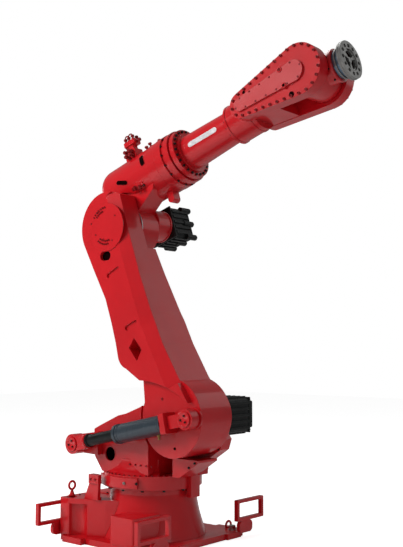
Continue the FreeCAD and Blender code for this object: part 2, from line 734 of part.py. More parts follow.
def main():
    os.makedirs("parts", exist_ok=True)
    for group in (base_parts, turret_parts, arm_parts, balancer_parts, elbow_and_forearm_parts, wrist_parts):
        for name, shape in group().items():
            shape.exportStep("parts/" + name + ".step")


main()
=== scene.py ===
"""Looks of the industrial robot arm: paint, machined faces, screws, motors' ribs and fittings."""

import json
import math

import bmesh
import bpy
from mathutils import Euler, Matrix, Vector


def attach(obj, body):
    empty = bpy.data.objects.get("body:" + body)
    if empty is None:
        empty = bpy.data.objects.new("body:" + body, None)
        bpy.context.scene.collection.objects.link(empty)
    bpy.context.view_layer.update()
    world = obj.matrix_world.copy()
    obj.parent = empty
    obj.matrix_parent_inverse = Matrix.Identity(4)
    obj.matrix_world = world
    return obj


bl_info = {
    "name": "Industrial robot arm finish",
    "version": (1, 0, 0),
    "blender": (4, 5, 0),
    "location": "3D View > Sidebar > Robot Arm",
    "description": "Adds paint, fixings and fittings to the industrial robot arm",
    "category": "Object",
}

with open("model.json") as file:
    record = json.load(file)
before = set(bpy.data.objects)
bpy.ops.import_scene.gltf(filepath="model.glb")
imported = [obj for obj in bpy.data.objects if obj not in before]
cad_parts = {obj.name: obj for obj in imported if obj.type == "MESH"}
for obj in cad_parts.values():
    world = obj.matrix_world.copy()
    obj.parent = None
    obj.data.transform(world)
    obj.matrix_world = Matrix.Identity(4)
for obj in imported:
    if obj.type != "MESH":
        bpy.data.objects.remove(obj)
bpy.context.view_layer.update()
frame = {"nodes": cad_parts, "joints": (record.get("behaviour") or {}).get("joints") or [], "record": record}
MM = 0.001

# ---------------------------------------------------------------- frames of the links

JOINTS = {j["name"]: j for j in frame["joints"]}
MOUNTS = {m["name"]: m for m in frame["record"]["mounts"]}


def joint_at(name):
    """A joint's place at rest, in metres."""
    return Vector(JOINTS[name]["pos_m"])


def pitched(origin, along):
    """A link's frame: X along a direction in the upright plane, Y across, Z square to both."""
    x = Vector((along[0], 0, along[2])).normalized()
    y = Vector((0, 1, 0))
    z = x.cross(y)
    rotation = Matrix((x, y, z)).transposed().to_4x4()
    return Matrix.Translation(origin) @ rotation


def balancer_frame():
    rear, front = joint_at("balancer_rear_swing"), joint_at("balancer_front_swing")
    return pitched(rear, front - rear)


def arm_frame():
    up = (joint_at("axis_3") - joint_at("axis_2")).normalized()
    return pitched(joint_at("axis_2"), Vector((up.z, 0, -up.x)))


LINKS = {
    "floor": Matrix.Identity(4),
    "arm": arm_frame(),
    "balancer": balancer_frame(),
    "elbow": pitched(joint_at("axis_4"), JOINTS["axis_4"]["axis"]),
    "wrist": pitched(joint_at("axis_5"), JOINTS["axis_6"]["axis"]),
}
UP, DOWN = (0, 0, 1), (0, 0, -1)
NEAR, FAR = (0, -1, 0), (0, 1, 0)
AHEAD, BACK = (1, 0, 0), (-1, 0, 0)
CORNERS = ((-1, -1), (-1, 1), (1, -1), (1, 1))


def span(node, link="floor"):
    """A node's extents along a link's X, Y and Z in mm, as (low, high) pairs."""
    inwards = LINKS[link].inverted()
    places = [inwards @ vertex.co / MM for vertex in frame["nodes"][node].data.vertices]
    return [(min(axis), max(axis)) for axis in zip(*places)]


AXIS_3 = joint_at("axis_3") / MM
WRIST_X = (joint_at("axis_5") - joint_at("axis_4")).length / MM   # axis 5, from axis 4's origin
WALL_Y = -span("turret_casting")[1][1]     # turret's near wall, which mirrors the far one
HUB_FACE_Y = span("balancer_pin")[1][1]    # near face of the arm's hub, where the pin starts
BARREL = span("elbow_casting")[1][1]       # radius of the elbow's barrel
BARREL_REAR = -140.0                       # where the barrel's rear end turns flat


def spot(point, direction=UP, link="floor", twist=0.0):
    """A placing matrix in metres: point in mm in the link's frame, +Z along the direction."""
    turn = Vector(direction).to_track_quat("Z", "Y").to_matrix().to_4x4()
    twisted = turn @ Matrix.Rotation(math.radians(twist), 4, "Z")
    return LINKS[link] @ Matrix.Translation(Vector(point) * MM) @ twisted


# ---------------------------------------------------------------- settings

def colour_setting(name, description, default):
    return bpy.props.FloatVectorProperty(name=name, description=description, subtype="COLOR",
                                         size=3, min=0, max=1, default=default)


def share_setting(name, description, default):
    return bpy.props.FloatProperty(name=name, description=description, subtype="FACTOR",
                                   min=0, max=1, default=default)


def length_setting(name, description, default, least):
    return bpy.props.FloatProperty(name=name, description=description, unit="LENGTH",
                                   min=least, default=default)


def power_setting(name, description, default):
    return bpy.props.FloatProperty(name=name, description=description, unit="POWER",
                                   min=0, default=default)


def count_setting(name, description, default, least, most):
    return bpy.props.IntProperty(name=name, description=description, min=least, max=most,
                                 default=default)


class PaintSettings(bpy.types.PropertyGroup):
    """Colours of the robot's finishes."""
    body_red: colour_setting("Body red", "Gloss enamel on the castings", (0.62, 0.006, 0.012))
    motor_black: colour_setting("Motor black", "Coating of the servo motors", (0.005, 0.006, 0.006))
    sleeve_blue: colour_setting("Sleeve blue-grey", "Coating of the balancing cylinder's sleeve",
                                (0.036, 0.052, 0.068))
    flange_grey: colour_setting("Flange grey", "Blackened steel of the tool flange",
                                (0.27, 0.27, 0.26))
    plate_white: colour_setting("Plate white", "Enamel of the blank plate on the forearm",
                                (0.86, 0.82, 0.84))
    gloss: share_setting("Gloss", "Share of clear gloss over the red enamel", 0.55)
    wear: share_setting("Wear", "How much paint is rubbed along the edges", 0.25)


class FixingSettings(bpy.types.PropertyGroup):
    """Sizes of the screws and bolts."""
    small_head: length_setting("Small head", "Head diameter of the cover screws", 0.011, 0.004)
    medium_head: length_setting("Medium head", "Head diameter of the flange screws", 0.016, 0.006)
    anchor_head: length_setting("Anchor head", "Width across a floor bolt's hexagon", 0.038, 0.01)
    ring_count: count_setting("Gear ring bolts", "Bolts round the axis 4 gear ring", 16, 6, 48)


class MotorSettings(bpy.types.PropertyGroup):
    """Ribs of the servo motors."""
    rib_count: count_setting("Ribs per side", "Cooling ribs on each side of a motor", 5, 2, 24)
    rib_height: length_setting("Rib height", "How far the ribs stand off the housing", 0.010, 0.001)


class StageSettings(bpy.types.PropertyGroup):
    """Floor, lights and camera."""
    floor_colour: colour_setting("Floor", "Colour of the studio floor", (0.92, 0.92, 0.92))
    key_power: power_setting("Key light", "Power of the large soft light at the upper left", 275.0)
    sheen_power: power_setting("Sheen light", "Power of the dim light seen in the gloss", 8.0)
    fill_power: power_setting("Fill light", "Power of the soft light at the right", 18.0)
    sky_strength: bpy.props.FloatProperty(
        name="Sky", description="Brightness of the even studio light", default=0.20, min=0)


# ---------------------------------------------------------------- materials

class Nodes:
    """Short calls for building one material's node tree."""

    def __init__(self, name):
        self.material = bpy.data.materials.new(name)
        self.material.use_nodes = True
        self.tree = self.material.node_tree
        self.tree.nodes.clear()
        self.output = self.add("ShaderNodeOutputMaterial")
        self.shader = self.add("ShaderNodeBsdfPrincipled")
        self.link(self.shader.outputs["BSDF"], self.output.inputs["Surface"])
        self.place = self.add("ShaderNodeTexCoord").outputs["Object"]

    def add(self, kind, **settings):
        node = self.tree.nodes.new(kind)
        for key, value in settings.items():
            setattr(node, key, value)
        return node

    def link(self, output, target):
        self.tree.links.new(output, target)

    def noise(self, scale, detail=4.0, roughness=0.55, stretch=None):
        """A noise on the object's own coordinates, stretched per axis if asked."""
        node = self.add("ShaderNodeTexNoise")
        node.inputs["Scale"].default_value = scale
        node.inputs["Detail"].default_value = detail
        node.inputs["Roughness"].default_value = roughness
        place = self.place
        if stretch:
            mapping = self.add("ShaderNodeMapping")
            mapping.inputs["Scale"].default_value = stretch
            self.link(self.place, mapping.inputs["Vector"])
            place = mapping.outputs["Vector"]
        self.link(place, node.inputs["Vector"])
        return node.outputs["Fac"]

    def spread(self, value, low, high, start=0.3, end=0.7):
        """Map a varying value onto a range."""
        node = self.add("ShaderNodeMapRange")
        for name, number in (("From Min", start), ("From Max", end),
                             ("To Min", low), ("To Max", high)):
            node.inputs[name].default_value = number
        self.link(value, node.inputs["Value"])
        return node.outputs["Result"]

    def product(self, a, b):
        node = self.add("ShaderNodeMath", operation="MULTIPLY")
        self.link(a, node.inputs[0])
        self.link(b, node.inputs[1])
        return node.outputs[0]

    def blend(self, factor, a, b):
        """Mix two colours, each a colour or an output, by a varying factor."""
        node = self.add("ShaderNodeMix", data_type="RGBA")
        self.link(factor, node.inputs["Factor"])
        for socket, value in (("A", a), ("B", b)):
            target = [s for s in node.inputs if s.name == socket and s.type == "RGBA"][0]
            if isinstance(value, tuple):
                target.default_value = (*value, 1)
            else:
                self.link(value, target)
        return [s for s in node.outputs if s.type == "RGBA"][0]

    def edges(self, width):
        """High along sharp edges: how far the rounded normal leaves the true one."""
        bevel = self.add("ShaderNodeBevel", samples=4)
        bevel.inputs["Radius"].default_value = width
        geometry = self.add("ShaderNodeNewGeometry")
        dot = self.add("ShaderNodeVectorMath", operation="DOT_PRODUCT")
        self.link(bevel.outputs["Normal"], dot.inputs[0])
        self.link(geometry.outputs["Normal"], dot.inputs[1])
        return self.spread(dot.outputs["Value"], 1.0, 0.0, 0.80, 0.97)

    def relief(self, height, strength, distance, round_edges=0.0):
        """A fine relief from a height, over edges rounded by a radius in metres."""
        bump = self.add("ShaderNodeBump")
        bump.inputs["Strength"].default_value = strength
        bump.inputs["Distance"].default_value = distance
        self.link(height, bump.inputs["Height"])
        if round_edges:
            bevel = self.add("ShaderNodeBevel", samples=6)
            bevel.inputs["Radius"].default_value = round_edges
            self.link(bevel.outputs["Normal"], bump.inputs["Normal"])
        self.link(bump.outputs["Normal"], self.shader.inputs["Normal"])

    def constants(self, **values):
        """Set the shader's own sockets, with _ for a space in a socket's name."""
        for name, value in values.items():
            self.shader.inputs[name.replace("_", " ")].default_value = value


def shade(colour, factor):
    """A colour made darker or lighter."""
    return tuple(min(1.0, c * factor) for c in colour)


def red_enamel(name, gloss, specular):
    """Gloss enamel over cast iron, slightly rubbed on its edges."""
    paint = bpy.context.scene.robot_paint
    red = tuple(paint.body_red)
    dusty, rubbed_red = (0.36, 0.05, 0.05), (0.30, 0.05, 0.05)
    n = Nodes(name)
    cloud = n.spread(n.noise(2.2, 3), 0.0, 1.0)
    base = n.blend(cloud, shade(red, 0.88), shade(red, 1.06))
    dust = n.spread(n.noise(34, 6, 0.7), 0.0, 0.08, 0.5, 0.8)
    base = n.blend(dust, base, dusty)
    rubbed = n.product(n.edges(0.0035), n.spread(n.noise(55, 5, 0.7), 0.0, paint.wear, 0.52, 0.66))
    base = n.blend(rubbed, base, rubbed_red)
    n.link(base, n.shader.inputs["Base Color"])
    n.link(n.spread(n.noise(9, 5, 0.6), 0.30, 0.44), n.shader.inputs["Roughness"])
    n.relief(n.noise(420, 2, 0.5), 0.05, 0.0006, 0.004)
    n.constants(Coat_Weight=gloss, Coat_Roughness=0.10, Specular_IOR_Level=specular)
    return n.material


def motor_black():
    """Fine textured black coating on a die-cast housing."""
    black, bare = tuple(bpy.context.scene.robot_paint.motor_black), (0.10, 0.10, 0.10)
    n = Nodes("motor_black")
    cloud = n.spread(n.noise(14, 5), 0.0, 1.0)
    base = n.blend(cloud, shade(black, 0.7), shade(black, 1.9))
    rubbed = n.product(n.edges(0.002), n.spread(n.noise(90, 4), 0.0, 0.6, 0.5, 0.7))
    base = n.blend(rubbed, base, bare)
    n.link(base, n.shader.inputs["Base Color"])
    n.link(n.spread(n.noise(40, 4), 0.38, 0.55), n.shader.inputs["Roughness"])
    n.relief(n.noise(900, 3), 0.25, 0.0004, 0.003)
    n.constants(Specular_IOR_Level=0.30)
    return n.material


def sleeve_coat():
    """Satin blue-grey coating with faint marks round the cylinder."""
    blue, scuffed = tuple(bpy.context.scene.robot_paint.sleeve_blue), (0.20, 0.22, 0.24)
    n = Nodes("sleeve_coat")
    bands = n.noise(1.0, 3, 0.5, (120, 3, 3))
    base = n.blend(n.spread(bands, 0.0, 1.0), shade(blue, 0.8), shade(blue, 1.2))
    base = n.blend(n.spread(n.noise(60, 6, 0.7), 0.0, 0.25, 0.55, 0.8), base, scuffed)
    n.link(base, n.shader.inputs["Base Color"])
    n.link(n.spread(n.noise(22, 4), 0.30, 0.46), n.shader.inputs["Roughness"])
    n.relief(bands, 0.06, 0.0005, 0.002)
    n.constants(Metallic=0.25, Coat_Weight=0.25, Coat_Roughness=0.25)
    return n.material


def turned_steel(name, colour, rough, centre, along, metallic=1.0):
    """Machined steel with fine rings round an axis through a point."""
    n = Nodes(name)
    offset = n.add("ShaderNodeVectorMath", operation="SUBTRACT")
    n.link(n.place, offset.inputs[0])
    offset.inputs[1].default_value = centre
    across = n.add("ShaderNodeVectorMath", operation="CROSS_PRODUCT")
    n.link(offset.outputs[0], across.inputs[0])
    across.inputs[1].default_value = Vector(along).normalized()
    radius = n.add("ShaderNodeVectorMath", operation="LENGTH")
    n.link(across.outputs[0], radius.inputs[0])
    rings = n.add("ShaderNodeTexNoise", noise_dimensions="1D")
    rings.inputs["Scale"].default_value = 900
    rings.inputs["Detail"].default_value = 3
    n.link(radius.outputs["Value"], rings.inputs["W"])
    cloud = n.spread(n.noise(16, 5), 0.0, 1.0)
    base = n.blend(cloud, shade(colour, 0.75), shade(colour, 1.25))
    n.link(base, n.shader.inputs["Base Color"])
    n.link(n.spread(rings.outputs["Fac"], rough - 0.08, rough + 0.12), n.shader.inputs["Roughness"])
    n.relief(rings.outputs["Fac"], 0.12, 0.0003, 0.0015)
    n.constants(Metallic=metallic)
    return n.material


def coated(name, colour, rough, metallic, grain, lift=1.5, specular=0.5):
    """A small fitting's finish: mottled colour, uneven sheen and a fine grain."""
    n = Nodes(name)
    base = n.blend(n.spread(n.noise(45, 5), 0.0, 1.0), shade(colour, 0.7), shade(colour, lift))
    n.link(base, n.shader.inputs["Base Color"])
    n.link(n.spread(n.noise(80, 4), rough - 0.08, rough + 0.1), n.shader.inputs["Roughness"])
    n.relief(n.noise(grain, 3), 0.15, 0.0003)
    n.constants(Metallic=metallic, Specular_IOR_Level=specular)
    return n.material


def floor_paint():
    """Pale studio floor with a faint mottle."""
    colour = tuple(bpy.context.scene.robot_stage.floor_colour)
    n = Nodes("studio_floor")
    base = n.blend(n.spread(n.noise(1.5, 4), 0.0, 1.0), shade(colour, 0.985), shade(colour, 1.015))
    n.link(base, n.shader.inputs["Base Color"])
    n.link(n.spread(n.noise(6, 4), 0.55, 0.7), n.shader.inputs["Roughness"])
    n.constants(Emission_Color=(1, 1, 1, 1))
    seen = n.add("ShaderNodeLightPath").outputs["Is Camera Ray"]
    n.link(n.spread(seen, 0.0, 0.78, 0.0, 1.0), n.shader.inputs["Emission Strength"])
    return n.material


MATERIALS = {}


def make_finishes(paint):
    """Build every finish from the colours in the settings."""
    wrist, tool_axis = joint_at("axis_5"), JOINTS["axis_6"]["axis"]
    grey, white = tuple(paint.flange_grey), tuple(paint.plate_white)
    blued, bright = (0.13, 0.19, 0.26), (0.42, 0.42, 0.43)
    MATERIALS.update({
        "red": red_enamel("red_enamel", paint.gloss, 0.30),
        "cover": red_enamel("cover_enamel", 1.0, 0.9),
        "black": motor_black(),
        "sleeve": sleeve_coat(),
        "flange": turned_steel("flange_steel", grey, 0.42, wrist, tool_axis, 0.6),
        "hub": turned_steel("hub_steel", blued, 0.28, wrist, tool_axis, 0.85),
        "steel": turned_steel("bearing_steel", bright, 0.32, joint_at("axis_3"), FAR),
        "screw": coated("black_oxide_screws", (0.035, 0.022, 0.022), 0.38, 0.7, 600),
        "painted_screw": coated("painted_screws", (0.26, 0.006, 0.009), 0.36, 0.0, 500, 1.3),
        "zinc": coated("zinc_fittings", (0.45, 0.44, 0.42), 0.34, 0.95, 500, 1.2),
        "rubber": coated("rubber_seals", (0.015, 0.014, 0.014), 0.62, 0.0, 700),
        # near-black painted shade, laid as sheets, discs and collars where bores, pockets and holes would be
        # in shade
        "painted_shade": coated("painted_shade_dark", (0.006, 0.001, 0.001), 0.70, 0.0, 200, specular=0.05),
        "brass": coated("brass_fittings", (0.52, 0.36, 0.13), 0.33, 0.95, 400, 1.2),
        "plate": coated("blank_plate", white, 0.35, 0.0, 300, 1.08),
    })


NODE_FINISHES = {
    "black": ("axis_2_motor", "axis_3_motor", "balancer_tube", "connector_panel"),
    "sleeve": ("balancer_sleeve",),
    "flange": ("tool_flange",),
    "hub": ("tool_hub",),
    "cover": ("wrist_cover_left", "wrist_cover_right"),
    "steel": ("axis_2_reducer", "axis_3_reducer"),
}


def finish_nodes():
    """Give every node of the construction its finish."""
    chosen = {node: key for key, names in NODE_FINISHES.items() for node in names}
    for name, node in frame["nodes"].items():
        material = MATERIALS[chosen.get(name, "red")]
        node.data.materials.clear()
        node.data.materials.append(material)


# ---------------------------------------------------------------- mesh building

def mesh_of(bm, smooth=40.0):
    """A mesh from a bmesh, with normals outwards and smooth shading below an angle."""
    bmesh.ops.remove_doubles(bm, verts=bm.verts, dist=1e-6)
    bmesh.ops.recalc_face_normals(bm, faces=bm.faces)
    mesh = bpy.data.meshes.new("part")
    bm.to_mesh(mesh)
    bm.free()
    mesh.shade_smooth()
    mesh.set_sharp_from_angle(angle=math.radians(smooth))
    return mesh


def circle(radius, height, count, start=0.0):
    """Evenly spaced points on a circle about Z, from a start angle in degrees."""
    turns = [math.radians(start + 360 * i / count) for i in range(count)]
    return [(radius * math.cos(turn), radius * math.sin(turn), height) for turn in turns]


def lathe(profile, steps=48):
    """Turn a closed (radius, height) profile in metres round +Z."""
    bm = bmesh.new()
    rings = []
    for radius, height in profile:
        if radius < 1e-6:
            rings.append([bm.verts.new((0, 0, height))])
            continue
        rings.append([bm.verts.new(p) for p in circle(radius, height, steps)])
    for low, high in zip(rings, rings[1:] + rings[:1]):
        for i in range(steps):
            j = (i + 1) % steps
            corners = ((low, i), (low, j), (high, j), (high, i))
            unique = list(dict.fromkeys(ring[k % len(ring)] for ring, k in corners))
            if len(unique) > 2:
                bm.faces.new(unique)
    return mesh_of(bm)


def turned_part(profile_mm, steps=48):
    """A turned part from a closed (radius, height) profile in mm."""
    return lathe([(r * MM, z * MM) for r, z in profile_mm], steps)


def slab(size_mm, edge_mm=2.0, segments=2):
    """A block centred on X and Y, standing on z = 0, with rounded edges."""
    bm = bmesh.new()
    bmesh.ops.create_cube(bm, size=1)
    bmesh.ops.scale(bm, vec=[s * MM for s in size_mm], verts=bm.verts)
    bmesh.ops.translate(bm, vec=(0, 0, size_mm[2] * MM / 2), verts=bm.verts)
    bmesh.ops.bevel(bm, geom=bm.edges[:], offset=edge_mm * MM, segments=segments, affect="EDGES",
                    profile=0.5, clamp_overlap=True)
    return mesh_of(bm)


def prism(points_mm, height_mm, edge_mm=0.0):
    """An outline in XY raised along +Z, with its top edge bevelled."""
    bm = bmesh.new()
    base = [bm.verts.new((x * MM, y * MM, 0)) for x, y in points_mm]
    face = bm.faces.new(base)
    raised = bmesh.ops.extrude_face_region(bm, geom=[face])
    top = [v for v in raised["geom"] if isinstance(v, bmesh.types.BMVert)]
    bmesh.ops.translate(bm, vec=(0, 0, height_mm * MM), verts=top)
    if edge_mm:
        rim = [e for e in bm.edges if all(v in top for v in e.verts)]
        bmesh.ops.bevel(bm, geom=rim, offset=edge_mm * MM, segments=2, affect="EDGES", profile=0.5)
    return mesh_of(bm)


def oblong(length, width, count=12):
    """Points of a rounded-end strip, in mm."""
    r, straight = width / 2, (length - width) / 2
    points = []
    for side, start in ((1, -90), (-1, 90)):
        for i in range(count + 1):
            angle = math.radians(start + 180 * i / count)
            points.append((side * straight + r * math.cos(angle), r * math.sin(angle)))
    return points


def moved(outline, x, y, turn=0.0):
    """An outline turned by degrees and moved, in mm."""
    c, s = math.cos(math.radians(turn)), math.sin(math.radians(turn))
    return [(x + u * c - v * s, y + u * s + v * c) for u, v in outline]


def wrapped(outline, radius_at, lift, steps=6):
    """A thin sheet, outlined in (x, arc) mm, bent round the X axis on its near side."""
    bm = bmesh.new()
    half = len(outline) // 2
    layers = []
    for grow in (0.0, lift):
        rows = []
        for near, far in zip(outline[:half], reversed(outline[half:])):
            row = []
            for k in range(steps + 1):
                x, arc = Vector(near).lerp(Vector(far), k / steps)
                radius, angle = radius_at(x) + grow, arc / radius_at(x)
                place = Vector((x, -radius * math.cos(angle), radius * math.sin(angle)))
                row.append(bm.verts.new(place * MM))
            rows.append(row)
        for a, b in zip(rows, rows[1:]):
            for k in range(steps):
                bm.faces.new((a[k], a[k + 1], b[k + 1], b[k]))
        layers.append(rows[0] + [row[-1] for row in rows[1:-1]] + rows[-1][::-1]
                      + [row[0] for row in rows[-2:0:-1]])
    count = len(layers[0])
    for i in range(count):
        j = (i + 1) % count
        bm.faces.new((layers[0][i], layers[0][j], layers[1][j], layers[1][i]))
    return mesh_of(bm, 30)


def tube_along(points_mm, radius_mm, sides=14):
    """A round bar or pipe swept along a smooth path."""
    curve = bpy.data.curves.new("path", "CURVE")
    curve.dimensions = "3D"
    curve.bevel_depth = radius_mm * MM
    curve.bevel_resolution = sides // 4
    curve.use_fill_caps = True
    spline = curve.splines.new("NURBS")
    spline.points.add(len(points_mm) - 1)
    for point, place in zip(spline.points, points_mm):
        point.co = (*(Vector(place) * MM), 1)
    spline.order_u = 3
    spline.use_endpoint_u = True
    path = bpy.data.objects.new("path", curve)
    mesh = bpy.data.meshes.new_from_object(path)
    bpy.data.objects.remove(path)
    bpy.data.curves.remove(curve)
    return mesh


def joined(items):
    """One mesh from (mesh, matrix) pairs; the materials of the faces are kept."""
    bm = bmesh.new()
    materials = []
    for mesh, matrix in items:
        own = mesh.copy()
        own.transform(matrix)
        offset = []
        for material in own.materials:
            if material not in materials:
                materials.append(material)
            offset.append(materials.index(material))
        for polygon in own.polygons:
            if offset:
                polygon.material_index = offset[polygon.material_index]
        bm.from_mesh(own)
        bpy.data.meshes.remove(own)
    result = bpy.data.meshes.new("joined")
    bm.to_mesh(result)
    bm.free()
    for material in materials:
        result.materials.append(material)
    return result


def painted(mesh, key):
    """Give a mesh one finish, and hand it back."""
    mesh.materials.clear()
    mesh.materials.append(MATERIALS[key])
    return mesh


def piece(name, mesh, body):
    """Link a finished mesh as a piece that rides on a body."""
    mesh.name = name
    shown = bpy.data.objects.new(name, mesh)
    bpy.context.scene.collection.objects.link(shown)
    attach(shown, body)
    return shown


# ---------------------------------------------------------------- screw heads

def hexagon(radius, height):
    return circle(radius, height, 6, 30)


def socket_head():
    """A cylinder head of unit diameter with a chamfered rim and a hexagon socket."""
    steps = 18
    bm = bmesh.new()

    top = 0.58
    levels = [[bm.verts.new(p) for p in circle(radius, height, steps)]
              for radius, height in ((0.5, 0), (0.5, 0.5), (0.44, top), (0.30, top))]
    for low, high in zip(levels, levels[1:]):
        for i in range(steps):
            bm.faces.new((low[i], low[(i + 1) % steps], high[(i + 1) % steps], high[i]))
    mouth = [bm.verts.new(p) for p in hexagon(0.27, top)]
    floor = [bm.verts.new(p) for p in hexagon(0.27, 0.25)]
    edges = [bm.edges.get((a, b)) or bm.edges.new((a, b)) for ring in (levels[-1], mouth)
             for a, b in zip(ring, ring[1:] + ring[:1])]
    bmesh.ops.bridge_loops(bm, edges=edges)
    for i in range(6):
        bm.faces.new((mouth[i], mouth[(i + 1) % 6], floor[(i + 1) % 6], floor[i]))
    bm.faces.new(floor)
    bm.faces.new(levels[0])
    return mesh_of(bm, 30)


def hex_head():
    """A hexagon head on a washer, one unit across its flats."""
    washer = lathe([(0.0, 0.0), (0.66, 0.0), (0.66, 0.10), (0.63, 0.13), (0.0, 0.13)], 24)
    bm = bmesh.new()
    across = 0.5 / math.cos(math.radians(30))
    levels = [[bm.verts.new(p) for p in hexagon(r, z)]
              for r, z in ((across, 0.13), (across, 0.66), (across * 0.90, 0.74))]
    for low, high in zip(levels, levels[1:]):
        for i in range(6):
            bm.faces.new((low[i], low[(i + 1) % 6], high[(i + 1) % 6], high[i]))
    bm.faces.new(levels[-1])
    bm.faces.new(levels[0])
    return joined([(washer, Matrix.Identity(4)), (mesh_of(bm, 20), Matrix.Identity(4))])


def plug_head():
    """A round plug with a shallow dish."""
    return lathe([(0.0, 0.0), (0.5, 0.0), (0.5, 0.16), (0.44, 0.24), (0.30, 0.24), (0.24, 0.16),
                  (0.0, 0.16)], 24)


def thin_collar():
    """A flat ring round a hole, of unit outer diameter."""
    return lathe([(0.34, 0.0), (0.50, 0.0), (0.50, 0.03), (0.48, 0.05), (0.34, 0.05)], 24)


# ---------------------------------------------------------------- Geometry Nodes

class Tree:
    """Short calls for building a Geometry Nodes tree with named inputs."""

    def __init__(self, name, sockets):
        self.group = bpy.data.node_groups.new(name, "GeometryNodeTree")
        self.group.is_modifier = True
        self.keys = {}
        for label, kind, default in sockets:
            socket = self.group.interface.new_socket(name=label, in_out="INPUT", socket_type=kind)
            if default is not None:
                socket.default_value = default
            self.keys[label] = socket.identifier
        self.group.interface.new_socket(name="Geometry", in_out="OUTPUT",
                                        socket_type="NodeSocketGeometry")
        self.source = self.add("NodeGroupInput")
        self.sink = self.add("NodeGroupOutput")

    def add(self, kind, **settings):
        node = self.group.nodes.new(kind)
        for key, value in settings.items():
            setattr(node, key, value)
        return node

    def wire(self, output, node, socket):
        self.group.links.new(output, node.inputs[socket])

    def value(self, label):
        return self.source.outputs[label]

    def math(self, operation, a, b):
        node = self.add("ShaderNodeMath", operation=operation)
        for index, operand in enumerate((a, b)):
            if isinstance(operand, (int, float)):
                node.inputs[index].default_value = operand
            else:
                self.wire(operand, node, index)
        return node.outputs[0]

    def numbered(self):
        """As many points as the Count input says, and their index."""
        points = self.add("GeometryNodePoints")
        self.wire(self.value("Count"), points, "Count")
        return points, self.add("GeometryNodeInputIndex").outputs["Index"]

    def spread_out(self, points, x, y=None):
        """Give the points their X and Y."""
        place = self.add("ShaderNodeCombineXYZ")
        self.wire(x, place, "X")
        if y is not None:
            self.wire(y, place, "Y")
        self.wire(place.outputs["Vector"], points, "Position")
        return points.outputs["Points"]

    def shape(self, label):
        """The geometry of an object input."""
        info = self.add("GeometryNodeObjectInfo")
        self.wire(self.value(label), info, "Object")
        return info.outputs["Geometry"]

    def copies(self, points, label, size):
        """A copy of an object input on each point."""
        stand = self.add("GeometryNodeInstanceOnPoints")
        self.wire(points, stand, "Points")
        self.wire(self.shape(label), stand, "Instance")
        self.wire(size, stand, "Scale")
        return stand

    def heads(self, points):
        """Stand a head on each point, turned by a seeded random angle, and close the tree."""
        chance = self.add("FunctionNodeRandomValue", data_type="FLOAT")
        low, high = [s for s in chance.inputs if s.type == "VALUE" and s.name in ("Min", "Max")][:2]
        low.default_value, high.default_value = 0.0, math.pi / 3
        self.wire(self.value("Seed"), chance, "Seed")
        twist = self.add("ShaderNodeCombineXYZ")
        self.wire([s for s in chance.outputs if s.type == "VALUE"][0], twist, "Z")
        stand = self.copies(points, "Head", self.value("Head Size"))
        self.wire(twist.outputs["Vector"], stand, "Rotation")
        self.end(stand.outputs["Instances"])

    def end(self, instances):
        """Realize Instances and Set Material close the tree."""
        real = self.add("GeometryNodeRealizeInstances")
        self.wire(instances, real, "Geometry")
        coat = self.add("GeometryNodeSetMaterial")
        self.wire(real.outputs["Geometry"], coat, "Geometry")
        self.wire(self.value("Material"), coat, "Material")
        self.wire(coat.outputs["Geometry"], self.sink, "Geometry")


HEAD_INPUTS = [("Head", "NodeSocketObject", None), ("Head Size", "NodeSocketFloat", 0.02),
               ("Seed", "NodeSocketInt", 7), ("Material", "NodeSocketMaterial", None)]


def head_ring_tree():
    """Heads on a circle or an arc about +Z, each turned by its own chance angle."""
    tree = Tree("head_ring", HEAD_INPUTS + [
        ("Count", "NodeSocketInt", 8), ("Radius", "NodeSocketFloat", 0.1),
        ("Start", "NodeSocketFloat", 0.0), ("Sweep", "NodeSocketFloat", 2 * math.pi)])
    points, index = tree.numbered()
    step = tree.math("DIVIDE", tree.value("Sweep"), tree.value("Count"))
    angle = tree.math("ADD", tree.math("MULTIPLY", index, step), tree.value("Start"))
    x, y = (tree.math("MULTIPLY", tree.math(turn, angle, 0.0), tree.value("Radius"))
            for turn in ("COSINE", "SINE"))
    tree.heads(tree.spread_out(points, x, y))
    return tree


def head_row_tree():
    """Heads on a straight row along +X, starting at the origin."""
    tree = Tree("head_row", HEAD_INPUTS + [
        ("Count", "NodeSocketInt", 8), ("Pitch", "NodeSocketFloat", 0.05)])
    points, index = tree.numbered()
    tree.heads(tree.spread_out(points, tree.math("MULTIPLY", index, tree.value("Pitch"))))
    return tree


def head_path_tree():
    """Heads evenly spaced along a closed path."""
    tree = Tree("head_path", HEAD_INPUTS + [
        ("Path", "NodeSocketObject", None), ("Count", "NodeSocketInt", 16)])
    spaced = tree.add("GeometryNodeResampleCurve")
    tree.wire(tree.shape("Path"), spaced, "Curve")
    tree.wire(tree.value("Count"), spaced, "Count")
    tree.heads(spaced.outputs["Curve"])
    return tree


def rib_tree():
    """Straight cooling ribs side by side along +X, each a thin rounded bar along +Y."""
    tree = Tree("ribs", [
        ("Rib", "NodeSocketObject", None), ("Count", "NodeSocketInt", 9),
        ("Width", "NodeSocketFloat", 0.16), ("Length", "NodeSocketFloat", 0.2),
        ("Height", "NodeSocketFloat", 0.006), ("Thickness", "NodeSocketFloat", 0.006),
        ("Material", "NodeSocketMaterial", None)])
    points, index = tree.numbered()
    gaps = tree.math("SUBTRACT", tree.value("Count"), 1)
    share = tree.math("SUBTRACT", tree.math("DIVIDE", index, gaps), 0.5)
    places = tree.spread_out(points, tree.math("MULTIPLY", share, tree.value("Width")))
    size = tree.add("ShaderNodeCombineXYZ")
    for axis, label in (("X", "Thickness"), ("Y", "Length"), ("Z", "Height")):
        tree.wire(tree.value(label), size, axis)
    tree.end(tree.copies(places, "Rib", size.outputs["Vector"]).outputs["Instances"])
    return tree


TREES = {}
PATTERNS = {}


